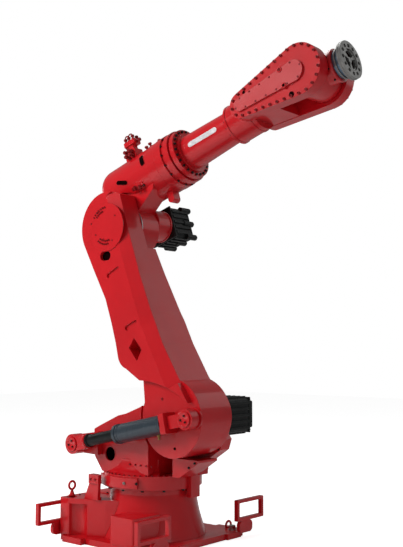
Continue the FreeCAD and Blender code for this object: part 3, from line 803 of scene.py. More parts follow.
def make_patterns():
    """Build the trees and the small meshes that they repeat."""
    TREES.update({"ring": head_ring_tree(), "row": head_row_tree(), "path": head_path_tree(),
                  "ribs": rib_tree()})
    rib = bmesh.new()
    bmesh.ops.create_cube(rib, size=1)
    bmesh.ops.translate(rib, vec=(0, 0, 0.5), verts=rib.verts)
    top = [e for e in rib.edges if all(v.co.z > 0.9 for v in e.verts)
           and abs(e.verts[0].co.x - e.verts[1].co.x) < 0.1]
    bmesh.ops.bevel(rib, geom=top, offset=0.3, segments=2, affect="EDGES", profile=0.5)
    meshes = {"socket": socket_head(), "hex": hex_head(), "plug": plug_head(),
              "collar": thin_collar(), "rib": mesh_of(rib, 30)}
    for key, mesh in meshes.items():
        PATTERNS[key] = bpy.data.objects.new(key + "_pattern", mesh)


def drop_patterns():
    """Remove the repeated meshes' objects, once every piece holds its own copy."""
    for pattern in PATTERNS.values():
        bpy.data.objects.remove(pattern)


def grown(tree_name, material, **inputs):
    """Run a tree once and return its result as a plain mesh."""
    tree = TREES[tree_name]
    carrier_mesh = bpy.data.meshes.new("carrier")
    carrier = bpy.data.objects.new("carrier", carrier_mesh)
    bpy.context.scene.collection.objects.link(carrier)
    modifier = carrier.modifiers.new("pattern", "NODES")
    modifier.node_group = tree.group
    for label, value in inputs.items():
        modifier[tree.keys[label.replace("_", " ")]] = value
    modifier[tree.keys["Material"]] = MATERIALS[material]
    evaluated = carrier.evaluated_get(bpy.context.evaluated_depsgraph_get())
    mesh = bpy.data.meshes.new_from_object(evaluated)
    carrier.modifiers.remove(modifier)
    bpy.data.objects.remove(carrier)
    return mesh


def ring_of(head, count, radius_mm, size, start=0.0, sweep=360.0, material="screw"):
    """Heads on a circle or an arc, by angles in degrees."""
    return grown("ring", material, Head=PATTERNS[head], Count=count, Radius=radius_mm * MM,
                 Start=math.radians(start), Sweep=math.radians(sweep), Head_Size=size)


def row_of(head, count, pitch_mm, size, material="screw"):
    """Heads on a straight row from the first one."""
    return grown("row", material, Head=PATTERNS[head], Count=count, Pitch=pitch_mm * MM,
                 Head_Size=size)


def single(head, size, material="screw"):
    return row_of(head, 1, 0.0, size, material)


def ribs_of(count, width_mm, length_mm, height, thickness_mm, material="black"):
    return grown("ribs", material, Rib=PATTERNS["rib"], Count=count, Width=width_mm * MM,
                 Length=length_mm * MM, Height=height, Thickness=thickness_mm * MM)


def path_of(head, points_mm, count, size, material="screw"):
    """Heads along a closed outline in XY."""
    curve = bpy.data.curves.new("outline", "CURVE")
    spline = curve.splines.new("POLY")
    spline.points.add(len(points_mm) - 1)
    for point, (x, y) in zip(spline.points, points_mm):
        point.co = (x * MM, y * MM, 0, 1)
    spline.use_cyclic_u = True
    path = bpy.data.objects.new("outline", curve)
    bpy.context.scene.collection.objects.link(path)
    mesh = grown("path", material, Path=path, Head=PATTERNS[head], Count=count, Head_Size=size)
    bpy.data.objects.remove(path)
    bpy.data.curves.remove(curve)
    return mesh


def teardrop_points(nose_x, nose_r, root_x, root_r, steps=24):
    """The hull of two circles on the X axis, in mm."""
    slope = math.degrees(math.asin((nose_r - root_r) / (nose_x - root_x)))
    points = []
    for centre, radius, start, end in ((nose_x, nose_r, 90 + slope, -90 - slope),
                                       (root_x, root_r, -90 - slope, -270 + slope)):
        for i in range(steps + 1):
            angle = math.radians(start + (end - start) * i / steps)
            points.append((centre + radius * math.cos(angle), radius * math.sin(angle)))
    return points


# ---------------------------------------------------------------- pieces

class Fittings:
    """Meshes stood on one link, in mm in its frame, and joined as one piece."""

    def __init__(self, link="floor"):
        self.link = link
        self.items = []

    def add(self, mesh, point, direction=UP, twist=0.0):
        """Stand a mesh at a point with its +Z along a direction."""
        self.items.append((mesh, spot(point, direction, self.link, twist)))

    def lay(self, mesh):
        """Take a mesh that is already drawn in the link's frame."""
        self.items.append((mesh, LINKS[self.link]))

    def join(self, name, body, slot):
        """Make one piece of everything added, riding on a body."""
        piece(name, joined(self.items), body)


def pin_cap(name, pin, body, small_head):
    """A dished cap with three screws over a balancer pin's near end."""
    reach, dish = 28, 4.5
    rim = turned_part([(0, 0), (44, 0), (44, 4), (41, 6.5), (34, 6.5), (31, dish), (0, dish)])
    centre = pin / MM + Vector(NEAR) * reach
    cap = Fittings()
    cap.add(painted(rim, "red"), centre, NEAR)
    cap.add(ring_of("socket", 3, 20, small_head, 75), centre + Vector(NEAR) * dish, NEAR)
    cap.join(name, body, "red_paint")


class Motor:
    """A square servo motor that lies along Y, with an end cap of a given length."""

    def __init__(self, node, link, cap):
        (left, right), (self.front, self.end), (bottom, top) = span(node, link)
        self.size = right - left
        self.x, self.z = (left + right) / 2, (bottom + top) / 2
        self.back = self.end - cap
        self.parts = Fittings(link)

    def dress(self, ribs, head):
        """Ribs on four sides, a flange, a band with corner screws, and the connectors."""
        rib_thickness, ribbed_width, ribbed_length = 17, 0.74, 0.80
        corner_inset, half, middle = 12, self.size / 2, (self.front + self.back) / 2
        across, along = self.size * ribbed_width, (self.back - self.front) * ribbed_length
        for sx, sz, out, twist in ((0, 1, UP, 0), (0, -1, DOWN, 0),
                                   (1, 0, AHEAD, 90), (-1, 0, BACK, 90)):
            side = (self.x + sx * half, middle, self.z + sz * half)
            rib_set = ribs_of(ribs.rib_count, across, along, ribs.rib_height, rib_thickness)
            self.parts.add(rib_set, side, out, twist)
        for grow, thick, edge, y, out in ((14, 12, 3, self.front + 14, NEAR),
                                          (8, 10, 2, self.back - 14, FAR)):
            plate = slab((self.size + grow, self.size + grow, thick), edge)
            self.parts.add(painted(plate, "black"), (self.x, y, self.z), out)
        reach = half - corner_inset
        for sx, sz in CORNERS:
            corner = (self.x + sx * reach, self.back, self.z + sz * reach)
            self.parts.add(single("socket", head), corner, FAR)
        self.connectors(half)

    def connectors(self, half):
        """Two round connectors on the motor's rear side and a lid on its end cap."""
        plug = turned_part([(0, 0), (15, 0), (15, 8), (12, 10), (12, 20), (15, 21), (15, 30),
                            (12, 32), (0, 32)], 24)
        foot = slab((38, 38, 12), 3)
        setback, foot_depth, lid_side = 32, 9, half * 1.3
        for offset in (-30, 26):
            base = Vector((self.x - half, self.back - setback, self.z + offset))
            self.parts.add(painted(foot, "black"), base, BACK)
            self.parts.add(painted(plug, "rubber"), base + Vector(BACK) * foot_depth, BACK)
        lid = slab((lid_side, lid_side, 4), 2)
        self.parts.add(painted(lid, "black"), (self.x, self.end - 1, self.z), FAR)

    def posts(self):
        """Round tie posts at the corners and middles of the motor's far end."""
        radius, length, reach = 19, 92, 94
        post = turned_part([(0, 0), (radius, 0), (radius, length - 6), (radius - 4, length),
                            (0, length)], 28)
        for sx in (-1, 0, 1):
            for sz in (-1, 0, 1):
                if sx or sz:
                    place = (self.x + sx * reach, self.end - length - 2, self.z + sz * reach)
                    self.parts.add(painted(post, "black"), place, FAR)


class ROBOT_OT_finishes(bpy.types.Operator):
    """Make the finishes and patterns, and paint the construction"""
    bl_idname = "robot.finishes"
    bl_label = "Finishes"
    bl_options = {"REGISTER", "UNDO"}

    def execute(self, context):
        make_finishes(context.scene.robot_paint)
        make_patterns()
        finish_nodes()
        return {"FINISHED"}


class ROBOT_OT_base(bpy.types.Operator):
    """Add the floor bolts, sockets, stop bolts and lid of the base"""
    bl_idname = "robot.base"
    bl_label = "Base fittings"
    bl_options = {"REGISTER", "UNDO"}

    def execute(self, context):
        sizes = context.scene.robot_fixings
        self.anchors(sizes.anchor_head)
        self.sockets(sizes.small_head)
        self.stop_bolts(sizes.small_head)
        self.lid(sizes.small_head)
        return {"FINISHED"}

    def anchors(self, head):
        """A hexagon bolt at each of the floor plate's corners."""
        plate_top = span("base_plate")[2][1]
        pattern = MOUNTS["floor_bolts"]["dims"]
        x, y = pattern["spacing_x_mm"] / 2, pattern["spacing_y_mm"] / 2
        bolts = Fittings()
        for sx, sy in CORNERS:
            bolts.add(single("hex", head, "zinc"), (sx * x, sy * y, plate_top))
        bolts.join("floor_bolts", "base", "bright_steel")

    def sockets(self, head):
        """Rings in the panel's three shrouds and a screw at each of its corners."""
        shroud, socket_depth, inset = 22, 14, 12
        (rear, _), (_, half_width), (bottom, top) = span("connector_panel")
        ring = turned_part([(27, 0), (31, 0), (31, 9), (29, 11), (27, 11)])
        middle, half_height = (bottom + top) / 2, (top - bottom) / 2
        parts = Fittings()
        for y in (-90, 0, 90):
            parts.add(painted(ring, "zinc"), (rear + socket_depth, y, middle), BACK)
        for sy, sz in CORNERS:
            corner = (rear + shroud, sy * (half_width - inset), middle + sz * (half_height - inset))
            parts.add(single("socket", head), corner, BACK)
        parts.join("socket_rings", "base", "dark_flange")

    def stop_bolts(self, head):
        """Two bolts through the axis 1 stop's bracket."""
        height = 371
        bracket_y = span("axis_1_stop_bracket")[1][0]
        bolts = Fittings()
        for x in (-176, -138):
            bolts.add(single("hex", head, "painted_screw"), (x, bracket_y, height), NEAR)
        bolts.join("stop_bolts", "base", "red_paint")

    def lid(self, head):
        """The housing's lid with its screws, and a screw row beside it on each side."""
        top = span("base_housing")[2][1]
        length, width, thick = 150, 300, 4
        middle, row_start, row_y = -320, -206, 268
        reach_x, reach_y = length / 2 - 10, width / 2 - 12
        parts = Fittings()
        for side in (-1, 1):
            row = row_of("socket", 4, 52, head, "painted_screw")
            parts.add(row, (row_start, side * row_y, top))
        parts.add(painted(slab((length, width, thick), 1.5), "red"), (middle, 0, top))
        for x in (middle - reach_x, middle + reach_x):
            for y in (-reach_y, 0, reach_y):
                parts.add(single("socket", head), (x, y, top + thick))
        parts.join("housing_lid", "base", "red_paint")


class ROBOT_OT_turret(bpy.types.Operator):
    """Add the bolts, the wall bore's lining of painted shade and the pin cap of the turret"""
    bl_idname = "robot.turret"
    bl_label = "Turret fittings"
    bl_options = {"REGISTER", "UNDO"}

    def execute(self, context):
        sizes = context.scene.robot_fixings
        self.ring_bolts(sizes)
        self.wall_screws(sizes.small_head)
        self.wall_bore()
        pin_cap("rear_pin_cap", joint_at("balancer_rear_swing"), "turret", sizes.small_head)
        return {"FINISHED"}

    def ring_bolts(self, sizes):
        """Bolts under and on the ring's flange, and two on its stop segment."""
        under, top = span("turret_ring")[2]
        segment, height = 317.5, 366
        bolts = Fittings()
        bolts.add(ring_of("hex", 14, 281, sizes.medium_head, 7.5), (0, 0, under), DOWN)
        arc = ring_of("socket", 17, 286, sizes.small_head, 62, 120, "painted_screw")
        bolts.add(arc, (0, 0, top))
        for azimuth, key in ((-77.75, "zinc"), (-63.6, "screw")):
            turn = math.radians(azimuth)
            out = Vector((math.cos(turn), math.sin(turn), 0))
            place = out * segment + Vector(UP) * height
            bolts.add(single("socket", sizes.medium_head, key), place, out)
        bolts.join("ring_bolts", "turret", "red_paint")

    def wall_screws(self, head):
        """A screw row and a plug in the near wall, and screws by the shoulder and the wedge."""
        row_head, row_lift = 0.010, 3
        shoulder_y = span("shoulder_housing")[1][0]
        gusset_y = span("turret_gusset")[1][0]
        screws = Fittings()
        row = row_of("socket", 5, 44, row_head, "painted_screw")
        screws.add(row, (36, WALL_Y - row_lift, 464), NEAR)
        screws.add(single("plug", head, "painted_screw"), (-238, WALL_Y, 590), NEAR)
        for x, y, z in ((516, shoulder_y, 596), (506, shoulder_y, 564), (468, gusset_y, 496),
                        (424, gusset_y, 468)):
            screws.add(single("hex", head), (x, y, z), NEAR)
        screws.join("wall_screws", "turret", "red_paint")

    def wall_bore(self):
        """The bore through the near wall: a near-black lining of painted shade inside it, and its rim."""
        centre, depth, wall = (-135, WALL_Y, 511), -70, 0.5
        lining = turned_part([(0.0, depth), (40.7, depth), (40.7, -6), (40.4, -6),
                              (40.4, depth + wall), (0.0, depth + wall)])
        rim = turned_part([(41, -0.5), (47, -0.5), (46, 2.2), (42, 2.2)])
        bore = Fittings()
        # a thin near-black cup in the bore: painted shade for the bore's dark inside
        bore.add(painted(lining, "painted_shade"), centre, NEAR)
        bore.add(painted(rim, "red"), centre, NEAR)
        bore.join("wall_bore", "turret", "red_paint")


class ROBOT_OT_motors(bpy.types.Operator):
    """Add ribs, connectors and end screws to both servo motors"""
    bl_idname = "robot.motors"
    bl_label = "Servo motors"
    bl_options = {"REGISTER", "UNDO"}

    def execute(self, context):
        scene = context.scene
        shoulder = Motor("axis_2_motor", "floor", 48)
        shoulder.dress(scene.robot_motors, scene.robot_fixings.medium_head)
        shoulder.parts.join("axis_2_motor_ribs", "turret", "black_motor")
        elbow = Motor("axis_3_motor", "elbow", 26)
        elbow.dress(scene.robot_motors, scene.robot_fixings.medium_head)
        elbow.posts()
        elbow.parts.join("axis_3_motor_ribs", "elbow", "black_motor")
        return {"FINISHED"}


class ROBOT_OT_lower_arm(bpy.types.Operator):
    """Add the cover bolts, plugs, recess floors and pin flange of the lower arm; the pocket's floor and one
    plug are painted shade
    """
    bl_idname = "robot.lower_arm"
    bl_label = "Lower arm fittings"
    bl_options = {"REGISTER", "UNDO"}

    def execute(self, context):
        small = context.scene.robot_fixings.small_head
        self.cover_bolts(small)
        self.linings()
        self.hub()
        pin_cap("front_pin_cap", joint_at("balancer_front_swing"), "lower_arm", small)
        return {"FINISHED"}

    def cover_bolts(self, head):
        """Plugs and arcs of screws on the round cover over axis 3."""
        cover_y = span("axis_3_cover")[1][0]
        bolts = Fittings()
        for x, z in ((-197, 1978), (-255, 1910), (-215, 1838), (-146, 1806), (-70, 1793),
                     (-48, 1943)):
            bolts.add(single("plug", head, "painted_screw"), (x, cover_y, z), NEAR)
        for radius, count, start, sweep in ((124, 7, 96, 60), (104, 5, 108, 40), (84, 6, 236, 62),
                                            (104, 6, 232, 58)):
            arc = ring_of("socket", count, radius, head, start, sweep, "painted_screw")
            bolts.add(arc, (AXIS_3.x, cover_y, AXIS_3.z), NEAR)
        bolts.join("axis_3_cover_bolts", "lower_arm", "red_paint")

    def linings(self):
        """Floors of the arm's pocket, near black as painted shade, and of its two slots, in red."""
        face_y = span("lower_arm_casting")[1][0]
        floors = Fittings("arm")
        # the pocket's floor is near-black painted shade; the slots' floors stay red
        for x, z, length, width, tilt, depth, key in ((-80, 1081, 88, 54, -24.2, 22, "painted_shade"),
                                                      (-60, 958, 114, 28, 0, 11, "red"),
                                                      (-50, 601, 104, 28, 0, 11, "red")):
            floor = prism(oblong(length, width), 1.0)
            floors.add(painted(floor, key), (x, face_y + depth, z), NEAR, tilt)
        floors.join("arm_recesses", "lower_arm", "red_paint")

    def hub(self):
        """Two plugs in the hub's near face, one near black as painted shade, and the flange round the front
        pin.
        """
        plug_size = 0.016
        pin = joint_at("balancer_front_swing") / MM
        flange = turned_part([(0, 0), (60, 0), (60, 6), (57, 9), (0, 9)])
        parts = Fittings()
        # this plug is near black: painted shade for a dark hole
        parts.add(single("plug", plug_size, "painted_shade"), (411, HUB_FACE_Y, 583), NEAR)
        parts.add(single("plug", plug_size, "painted_screw"), (313, HUB_FACE_Y, 856), NEAR)
        parts.add(painted(flange, "red"), (pin.x, HUB_FACE_Y, pin.z), NEAR)
        parts.join("hub_fittings", "lower_arm", "red_paint")


class ROBOT_OT_balancer(bpy.types.Operator):
    """Add the seal, bands, valve and bolts of the balancing cylinder"""
    bl_idname = "robot.balancer"
    bl_label = "Balancing cylinder fittings"
    bl_options = {"REGISTER", "UNDO"}

    def execute(self, context):
        mouth, end = span("balancer_sleeve", "balancer")[0]
        self.sleeve(mouth, end)
        bolts = Fittings("balancer")
        for y in (-41, 41):
            for z in (-48, 48):
                bolts.add(single("hex", context.scene.robot_fixings.small_head), (end, y, z), BACK)
        bolts.join("sleeve_bolts", "balancer_front", "dark_flange")
        tube_rear = span("balancer_tube", "balancer")[0][0]
        collar = Fittings("balancer")
        ring = turned_part([(34.3, 0), (46, 0), (46, 10), (42, 14), (34.3, 14)])
        collar.add(painted(ring, "red"), (tube_rear, 0, 0), AHEAD)
        collar.join("tube_collar", "balancer_rear", "red_paint")
        return {"FINISHED"}

    def sleeve(self, mouth, end):
        """The seal at the sleeve's mouth, two bands round it and the gas valve below."""
        seal = turned_part([(51, -5), (57, -4), (57.5, 0), (51, 0)])
        band = turned_part([(54.5, 0), (56.4, 1), (56.4, 7), (54.5, 8)])
        valve = turned_part([(0, 0), (11, 0), (11, 8), (6, 9), (6, 18), (8, 19), (8, 25),
                             (0, 26)], 20)
        parts = Fittings("balancer")
        parts.add(painted(seal, "rubber"), (mouth, 0, 0), AHEAD)
        for x in (mouth + 34, end - 22):
            parts.add(painted(band, "sleeve"), (x, 0, 0), AHEAD)
        parts.add(painted(valve, "brass"), (end - 60, 0, -54), DOWN)
        parts.join("sleeve_fittings", "balancer_front", "blue_grey_sleeve")


class ROBOT_OT_elbow(bpy.types.Operator):
    """Add the gear ring's bolts, the pockets, the valves and the fittings of the elbow"""
    bl_idname = "robot.elbow"
    bl_label = "Elbow fittings"
    bl_options = {"REGISTER", "UNDO"}

    def execute(self, context):
        sizes = context.scene.robot_fixings
        self.gear_ring(sizes)
        self.pockets(sizes.medium_head)
        self.valves()
        self.rear_cap(sizes.small_head)
        self.adaptor_rings()
        return {"FINISHED"}

    def on_barrel(self, x, angle, lift=0.0):
        """A point on the barrel and the way out of it: angle in degrees from -Y towards +Z."""
        turn = math.radians(angle)
        out = Vector((0, -math.cos(turn), math.sin(turn)))
        return Vector((x, 0, 0)) + out * (BARREL + lift), out

    def gear_ring(self, sizes):
        """Bolts in the step of the gear ring, and the raised band behind it."""
        ring_rear = span("elbow_gear_ring", "elbow")[0][0]
        step, width, gap = 60, 71, 0.5
        bolts = Fittings("elbow")
        ring = ring_of("hex", sizes.ring_count, BARREL + 0.5, sizes.small_head)
        bolts.add(ring, (ring_rear + step, 0, 0), AHEAD)
        bolts.join("gear_ring_bolts", "elbow", "red_paint")
        inner, outer = BARREL + 0.05, BARREL + 3.5
        band = turned_part([(inner, 0), (outer, 2), (outer, width - 2), (inner, width)], 96)
        raised = Fittings("elbow")
        raised.add(painted(band, "red"), (ring_rear - gap - width, 0, 0), AHEAD)
        raised.join("barrel_band", "elbow", "red_paint")

    def pockets(self, head):
        """Two slanted pockets, each a raised rim round a near-black sheet of painted shade on the barrel,
        and the nipples on their plate below.
        """
        parts = Fittings("elbow")
        for x, arc, length, width, turn in ((92, -12, 92, 26, -24), (284, 52, 84, 32, -76)):
            # the rim in red, then a near-black oblong of painted shade laid on the barrel where the pocket's
            # inside would be
            for grow, lift, key in ((10, 1.0, "red"), (0, 1.6, "painted_shade")):
                outline = moved(oblong(length + grow, width + grow), x, arc, turn)
                parts.lay(painted(wrapped(outline, lambda x: BARREL, lift), key))
        nipple = turned_part([(0, 0), (16, 0), (16, 8), (10, 9), (10, 22), (13, 23), (13, 30),
                              (0, 32)], 20)
        for x, angle in ((176, -30), (214, -33)):
            parts.add(painted(nipple, "painted_screw"), *self.on_barrel(x, angle))
        parts.add(painted(slab((96, 40, 10), 3), "red"), *self.on_barrel(196, -31.5, -4))
        parts.add(single("socket", head), *self.on_barrel(240, -34))
        parts.join("elbow_pockets", "elbow", "red_paint")

    def valves(self):
        """Knobs, nuts and two hoops on the valve block, and three knobs on the barrel."""
        (_, front), (near, _), (_, top) = span("air_manifold", "elbow")
        knob = turned_part([(0, 0), (11, 0), (11, 6), (7, 8), (7, 16), (12, 18), (12, 27), (9, 30),
                            (0, 30)], 20)
        nut = prism([(x, y) for x, y, _ in circle(13, 0, 6)], 12, 1.5)
        painted(knob, "painted_screw")
        painted(nut, "painted_screw")
        row_y = -78
        parts = Fittings("elbow")
        for x, y in ((128, row_y), (158, row_y), (192, row_y), (128, -42), (192, -42)):
            parts.add(knob, (x, y, top))
        for x, z in ((140, 150), (176, 150), (140, 180), (176, 180)):
            parts.add(nut, (x, near, z), NEAR)
            parts.add(knob, (x, near - 10, z), NEAR)
        for z in (244, 214):
            parts.add(nut, (115, -60, z), BACK)
        parts.add(knob, (front, -60, 247), AHEAD)
        for x, angle in ((250, 78), (304, 70), (348, 84)):
            parts.add(knob, *self.on_barrel(x, angle, -1))
        for a, b in ((128, 158), (158, 192)):
            bends = ((a, 285), (a, 300), ((a + b) / 2, 306), (b, 300), (b, 285))
            hoop = tube_along([(x, row_y, z) for x, z in bends], 4)
            parts.lay(painted(hoop, "painted_screw"))
        parts.join("valve_fittings", "elbow", "red_paint")

    def rear_cap(self, head):
        """The dished cap on the barrel's rear end."""
        thick = 9
        cap = turned_part([(0, 0), (70, 0), (70, 6), (66, thick), (24, thick), (20, 6), (0, 6)])
        parts = Fittings("elbow")
        parts.add(painted(cap, "red"), (BARREL_REAR, 0, 0), BACK)
        parts.add(ring_of("socket", 8, 52, head), (BARREL_REAR - thick, 0, 0), BACK)
        parts.join("barrel_cap", "elbow", "red_paint")

    def adaptor_rings(self):
        """A raised ring near each end of the axis 3 motor's adaptor."""
        (left, right), (near, far), (bottom, top) = span("axis_3_adaptor", "elbow")
        width = 12
        ring = turned_part([(98.5, 0), (102, 0), (103, 2), (103, 10), (102, width),
                            (98.5, width)], 64)
        rings = Fittings("elbow")
        for y in (far - width - 4, near + 2):
            rings.add(painted(ring, "red"), ((left + right) / 2, y, (bottom + top) / 2), FAR)
        rings.join("adaptor_rings", "elbow", "red_paint")


class ROBOT_OT_forearm(bpy.types.Operator):
    """Add the flange bolts, the blank plate and the fork covers' screws of the forearm"""
    bl_idname = "robot.forearm"
    bl_label = "Forearm fittings"
    bl_options = {"REGISTER", "UNDO"}

    def execute(self, context):
        sizes = context.scene.robot_fixings
        tube_start, tube_end = span("forearm_tube", "elbow")[0]
        flange = Fittings("elbow")
        flange.add(ring_of("socket", 24, 142, sizes.medium_head), (tube_start, 0, 0), AHEAD)
        flange.join("forearm_flange_bolts", "forearm", "red_paint")
        self.blank_plate(tube_start, tube_end)
        self.yoke_rings(tube_end, sizes.small_head)
        self.fork_side("right", -1, sizes)
        self.fork_side("left", 1, sizes)
        return {"FINISHED"}

    def blank_plate(self, start, end):
        """An oval plate bent round the near side of the tapered tube."""
        wide, narrow = 108, 96

        def radius_at(x):
            return wide - (wide - narrow) * (x - start) / (end - start)

        sheet = wrapped(moved(oblong(222, 31, 16), 728, -4), radius_at, 1.2)
        plate = Fittings("elbow")
        plate.lay(painted(sheet, "plate"))
        plate.join("blank_plate", "forearm", "bright_steel")

    def yoke_rings(self, start, head):
        """Two collars round the yoke's neck and the screws in its rear face."""
        collar = turned_part([(117.2, 0), (121, 2), (121, 14), (117.2, 16)], 64)
        rings = Fittings("elbow")
        for x in (start + 2, start + 148):
            rings.add(painted(collar, "red"), (x, 0, 0), AHEAD)
        rings.add(ring_of("socket", 16, 107, head), (start, 0, 0), BACK)
        rings.join("yoke_rings", "forearm", "red_paint")

    def fork_side(self, label, side, sizes):
        """Screws round one leg's rim and round its cover, with near-black discs of painted shade for the
        bores in both.
        """
        leg_y, cover_y = (side * max(abs(y) for y in span(node + label)[1])
                          for node in ("wrist_leg_", "wrist_cover_"))
        out = (0, side, 0)
        nose, root = WRIST_X, 1086
        rim = teardrop_points(nose, 133, root + 6, 64)
        edge = teardrop_points(nose - 22, 51, root, 30)
        if side > 0:
            rim, edge = ([(-x, y) for x, y in points] for points in (rim, edge))
        screws = path_of("socket", rim, 30, sizes.medium_head, "painted_screw")
        plugs = path_of("plug", edge, 14, sizes.small_head, "painted_screw")
        ring = turned_part([(9, 0), (16, 0), (16, 2), (14, 4), (9, 4)], 32)
        bore = turned_part([(0, 0), (9.2, 0), (9.2, 1.2), (0, 1.2)], 32)
        port = turned_part([(0, 0), (16, 0), (16, 1.5), (0, 1.5)], 32)
        parts = Fittings("elbow")
        parts.add(screws, (0, leg_y, 0), out)
        parts.add(plugs, (0, cover_y, 0), out)
        # red rings round near-black discs, painted shade for the bores; the leg's port and bore are
        # near-black discs of painted shade too
        for x, z in ((1389, 47), (1388, -48)):
            parts.add(painted(ring, "red"), (x, cover_y, z), out)
            parts.add(painted(bore, "painted_shade"), (x, cover_y, z), out)
        parts.add(painted(port, "painted_shade"), (1410, leg_y, -112), out)
        parts.add(painted(bore, "painted_shade"), (1129, leg_y, 56), out)
        parts.join("fork_screws_" + label, "forearm", "red_paint")


class ROBOT_OT_wrist(bpy.types.Operator):
    """Add the screws of the wrist and the pins and inserts of the tool flange"""
    bl_idname = "robot.wrist"
    bl_label = "Wrist and tool flange fittings"
    bl_options = {"REGISTER", "UNDO"}

    def execute(self, context):
        face = (Vector(MOUNTS["tool_bolts"]["pos_m"]) - joint_at("axis_5")).length / MM
        self.hub(face, context.scene.robot_fixings.small_head)
        self.tool_flange(face)
        return {"FINISHED"}

    def hub(self, face, head):
        """A collar in front of the wrist's hub and screws round the hub."""
        collar = turned_part([(88.3, 0), (94, 0), (94, 12), (92, 14), (88.3, 14)], 64)
        count, radius = 8, 87.8
        parts = Fittings("wrist")
        parts.add(painted(collar, "red"), (face - 88, 0, 0), AHEAD)
        for i in range(count):
            turn = 2 * math.pi * (i + 0.5) / count
            out = Vector((0, math.cos(turn), math.sin(turn)))
            parts.add(single("socket", head), Vector((face - 98, 0, 0)) + out * radius, out)
        parts.join("wrist_screws", "wrist", "red_paint")

    def tool_flange(self, face):
        """The bearing ring, edge groove, a floor and hole collars in near-black painted shade, and the pins
        of the flange.
        """
        collar_size, pin_size = 0.020, 0.012
        ring = turned_part([(80.3, 0), (86, 0), (86, 8), (80.3, 8)], 64)
        groove = turned_part([(107.2, 0), (108.2, 1), (108.2, 5), (107.2, 6)], 72)
        floor = turned_part([(0, 0), (53, 0), (53, 0.8), (0, 0.8)], 48)
        parts = Fittings("wrist")
        parts.add(painted(ring, "flange"), (face - 58, 0, 0), AHEAD)
        parts.add(painted(groove, "flange"), (face - 20, 0, 0), AHEAD)
        # the floor in the flange's middle and the collars round its twelve holes are painted shade
        parts.add(painted(floor, "painted_shade"), (face - 20, 0, 0), AHEAD)
        parts.add(ring_of("collar", 12, 80, collar_size, material="painted_shade"), (face, 0, 0), AHEAD)
        parts.add(ring_of("plug", 3, 57, pin_size, 90), (face - 6, 0, 0), AHEAD)
        parts.join("tool_flange_fittings", "tool_flange", "dark_flange")


# ---------------------------------------------------------------- stage

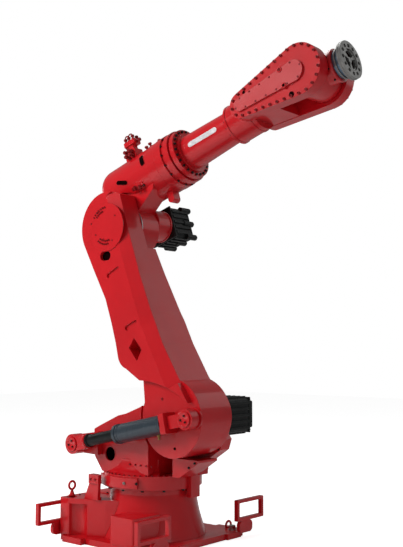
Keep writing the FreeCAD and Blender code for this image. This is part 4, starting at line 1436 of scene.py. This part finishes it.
class ROBOT_OT_stage(bpy.types.Operator):
    """Add the pale floor, the soft studio lights and the camera"""
    bl_idname = "robot.stage"
    bl_label = "Studio"
    bl_options = {"REGISTER", "UNDO"}

    def execute(self, context):
        settings = context.scene.robot_stage
        self.floor()
        self.world(settings.sky_strength)
        self.lights(settings)
        self.camera()
        drop_patterns()
        return {"FINISHED"}

    def floor(self):
        half, level = 14.0, -0.001
        mesh = bpy.data.meshes.new("studio_floor")
        corners = [(x * half, y * half, level) for x, y in ((-1, -1), (1, -1), (1, 1), (-1, 1))]
        mesh.from_pydata(corners, [], [(0, 1, 2, 3)])
        mesh.materials.append(floor_paint())
        floor = bpy.data.objects.new("studio_floor", mesh)
        bpy.context.scene.collection.objects.link(floor)

    def world(self, strength):
        """An even white sky, dimmer on the robot than behind it."""
        world = bpy.data.worlds.new("studio")
        world.use_nodes = True
        tree = world.node_tree
        lit = tree.nodes["Background"]
        seen = tree.nodes.new("ShaderNodeBackground")
        for background in (lit, seen):
            background.inputs["Color"].default_value = (1, 1, 1, 1)
        lit.inputs["Strength"].default_value = strength
        path = tree.nodes.new("ShaderNodeLightPath")
        either = tree.nodes.new("ShaderNodeMixShader")
        tree.links.new(path.outputs["Is Camera Ray"], either.inputs["Fac"])
        tree.links.new(lit.outputs["Background"], either.inputs[1])
        tree.links.new(seen.outputs["Background"], either.inputs[2])
        tree.links.new(either.outputs["Shader"], tree.nodes["World Output"].inputs["Surface"])
        bpy.context.scene.world = world
        bpy.context.scene.view_settings.view_transform = "Standard"

    def lights(self, settings):
        """A key light that the gloss doesn't show, three that only it shows, and two fills."""
        sheen, fill = settings.sheen_power, settings.fill_power
        key = self.light("key_light", (-2.6, -4.6, 4.2), (0.1, 0, 1.2), 3.0, settings.key_power)
        key.visible_glossy = False
        above = self.light("sheen_light", (-1.5, -3.9, 4.05), (0.1, 0, 1.2), 2.2, sheen)
        front = self.light("front_light", (2.6, 3.6, 3.5), (-0.1, 0, 1.3), 3.0, 2 * sheen)
        strip = self.light("strip_light", (-5.0, 0.5, 1.5), (0.1, 0, 1.0), 0.7, 4 * sheen)
        strip.data.shape, strip.data.size_y = "RECTANGLE", 3.4
        for shown in (above, front, strip):
            shown.visible_diffuse = False
        self.light("fill_light", (4.8, -1.2, 3.4), (0.2, 0, 1.3), 2.6, fill)
        self.light("top_light", (-0.6, 1.2, 5.4), (0.1, 0, 1.5), 2.4, 2.5 * fill)

    def light(self, name, place, target, size, power):
        lamp = bpy.data.lights.new(name, "AREA")
        lamp.shape = "DISK"
        lamp.size = size
        lamp.energy = power
        shown = bpy.data.objects.new(name, lamp)
        shown.location = place
        shown.rotation_euler = (Vector(target) - Vector(place)).to_track_quat("-Z", "Y").to_euler()
        bpy.context.scene.collection.objects.link(shown)
        return shown

    def camera(self):
        camera = bpy.data.cameras.new("camera")
        camera.lens = 56.59
        camera.sensor_width = 36.0
        camera.sensor_fit = "AUTO"
        shown = bpy.data.objects.new("camera", camera)
        shown.location = (3.6873, -3.8718, 1.1475)
        shown.rotation_euler = Euler((math.radians(94.924), 0, math.radians(40.42)), "XYZ")
        bpy.context.scene.collection.objects.link(shown)
        bpy.context.scene.camera = shown


class ROBOT_PT_panel(bpy.types.Panel):
    """Lists the robot arm's pieces and their settings"""
    bl_label = "Robot Arm"
    bl_idname = "ROBOT_PT_panel"
    bl_space_type = "VIEW_3D"
    bl_region_type = "UI"
    bl_category = "Robot Arm"

    def draw(self, context):
        for operator in OPERATORS:
            self.layout.operator(operator.bl_idname)
        for name in SETTINGS:
            box = self.layout.box()
            group = getattr(context.scene, name)
            for prop in group.bl_rna.properties.keys():
                if prop not in ("rna_type", "name"):
                    box.prop(group, prop)


SETTINGS = {"robot_paint": PaintSettings, "robot_fixings": FixingSettings,
            "robot_motors": MotorSettings, "robot_stage": StageSettings}
OPERATORS = (ROBOT_OT_finishes, ROBOT_OT_base, ROBOT_OT_turret, ROBOT_OT_motors,
             ROBOT_OT_lower_arm, ROBOT_OT_balancer, ROBOT_OT_elbow, ROBOT_OT_forearm,
             ROBOT_OT_wrist, ROBOT_OT_stage)


def register():
    for kind in (*SETTINGS.values(), *OPERATORS, ROBOT_PT_panel):
        bpy.utils.register_class(kind)
    for name, kind in SETTINGS.items():
        setattr(bpy.types.Scene, name, bpy.props.PointerProperty(type=kind))


def unregister():
    for name in SETTINGS:
        delattr(bpy.types.Scene, name)
    for kind in reversed((*SETTINGS.values(), *OPERATORS, ROBOT_PT_panel)):
        bpy.utils.unregister_class(kind)


def main():
    register()
    for operator in OPERATORS:
        group, name = operator.bl_idname.split(".")
        getattr(getattr(bpy.ops, group), name)()


if __name__ == "__main__":
    main()
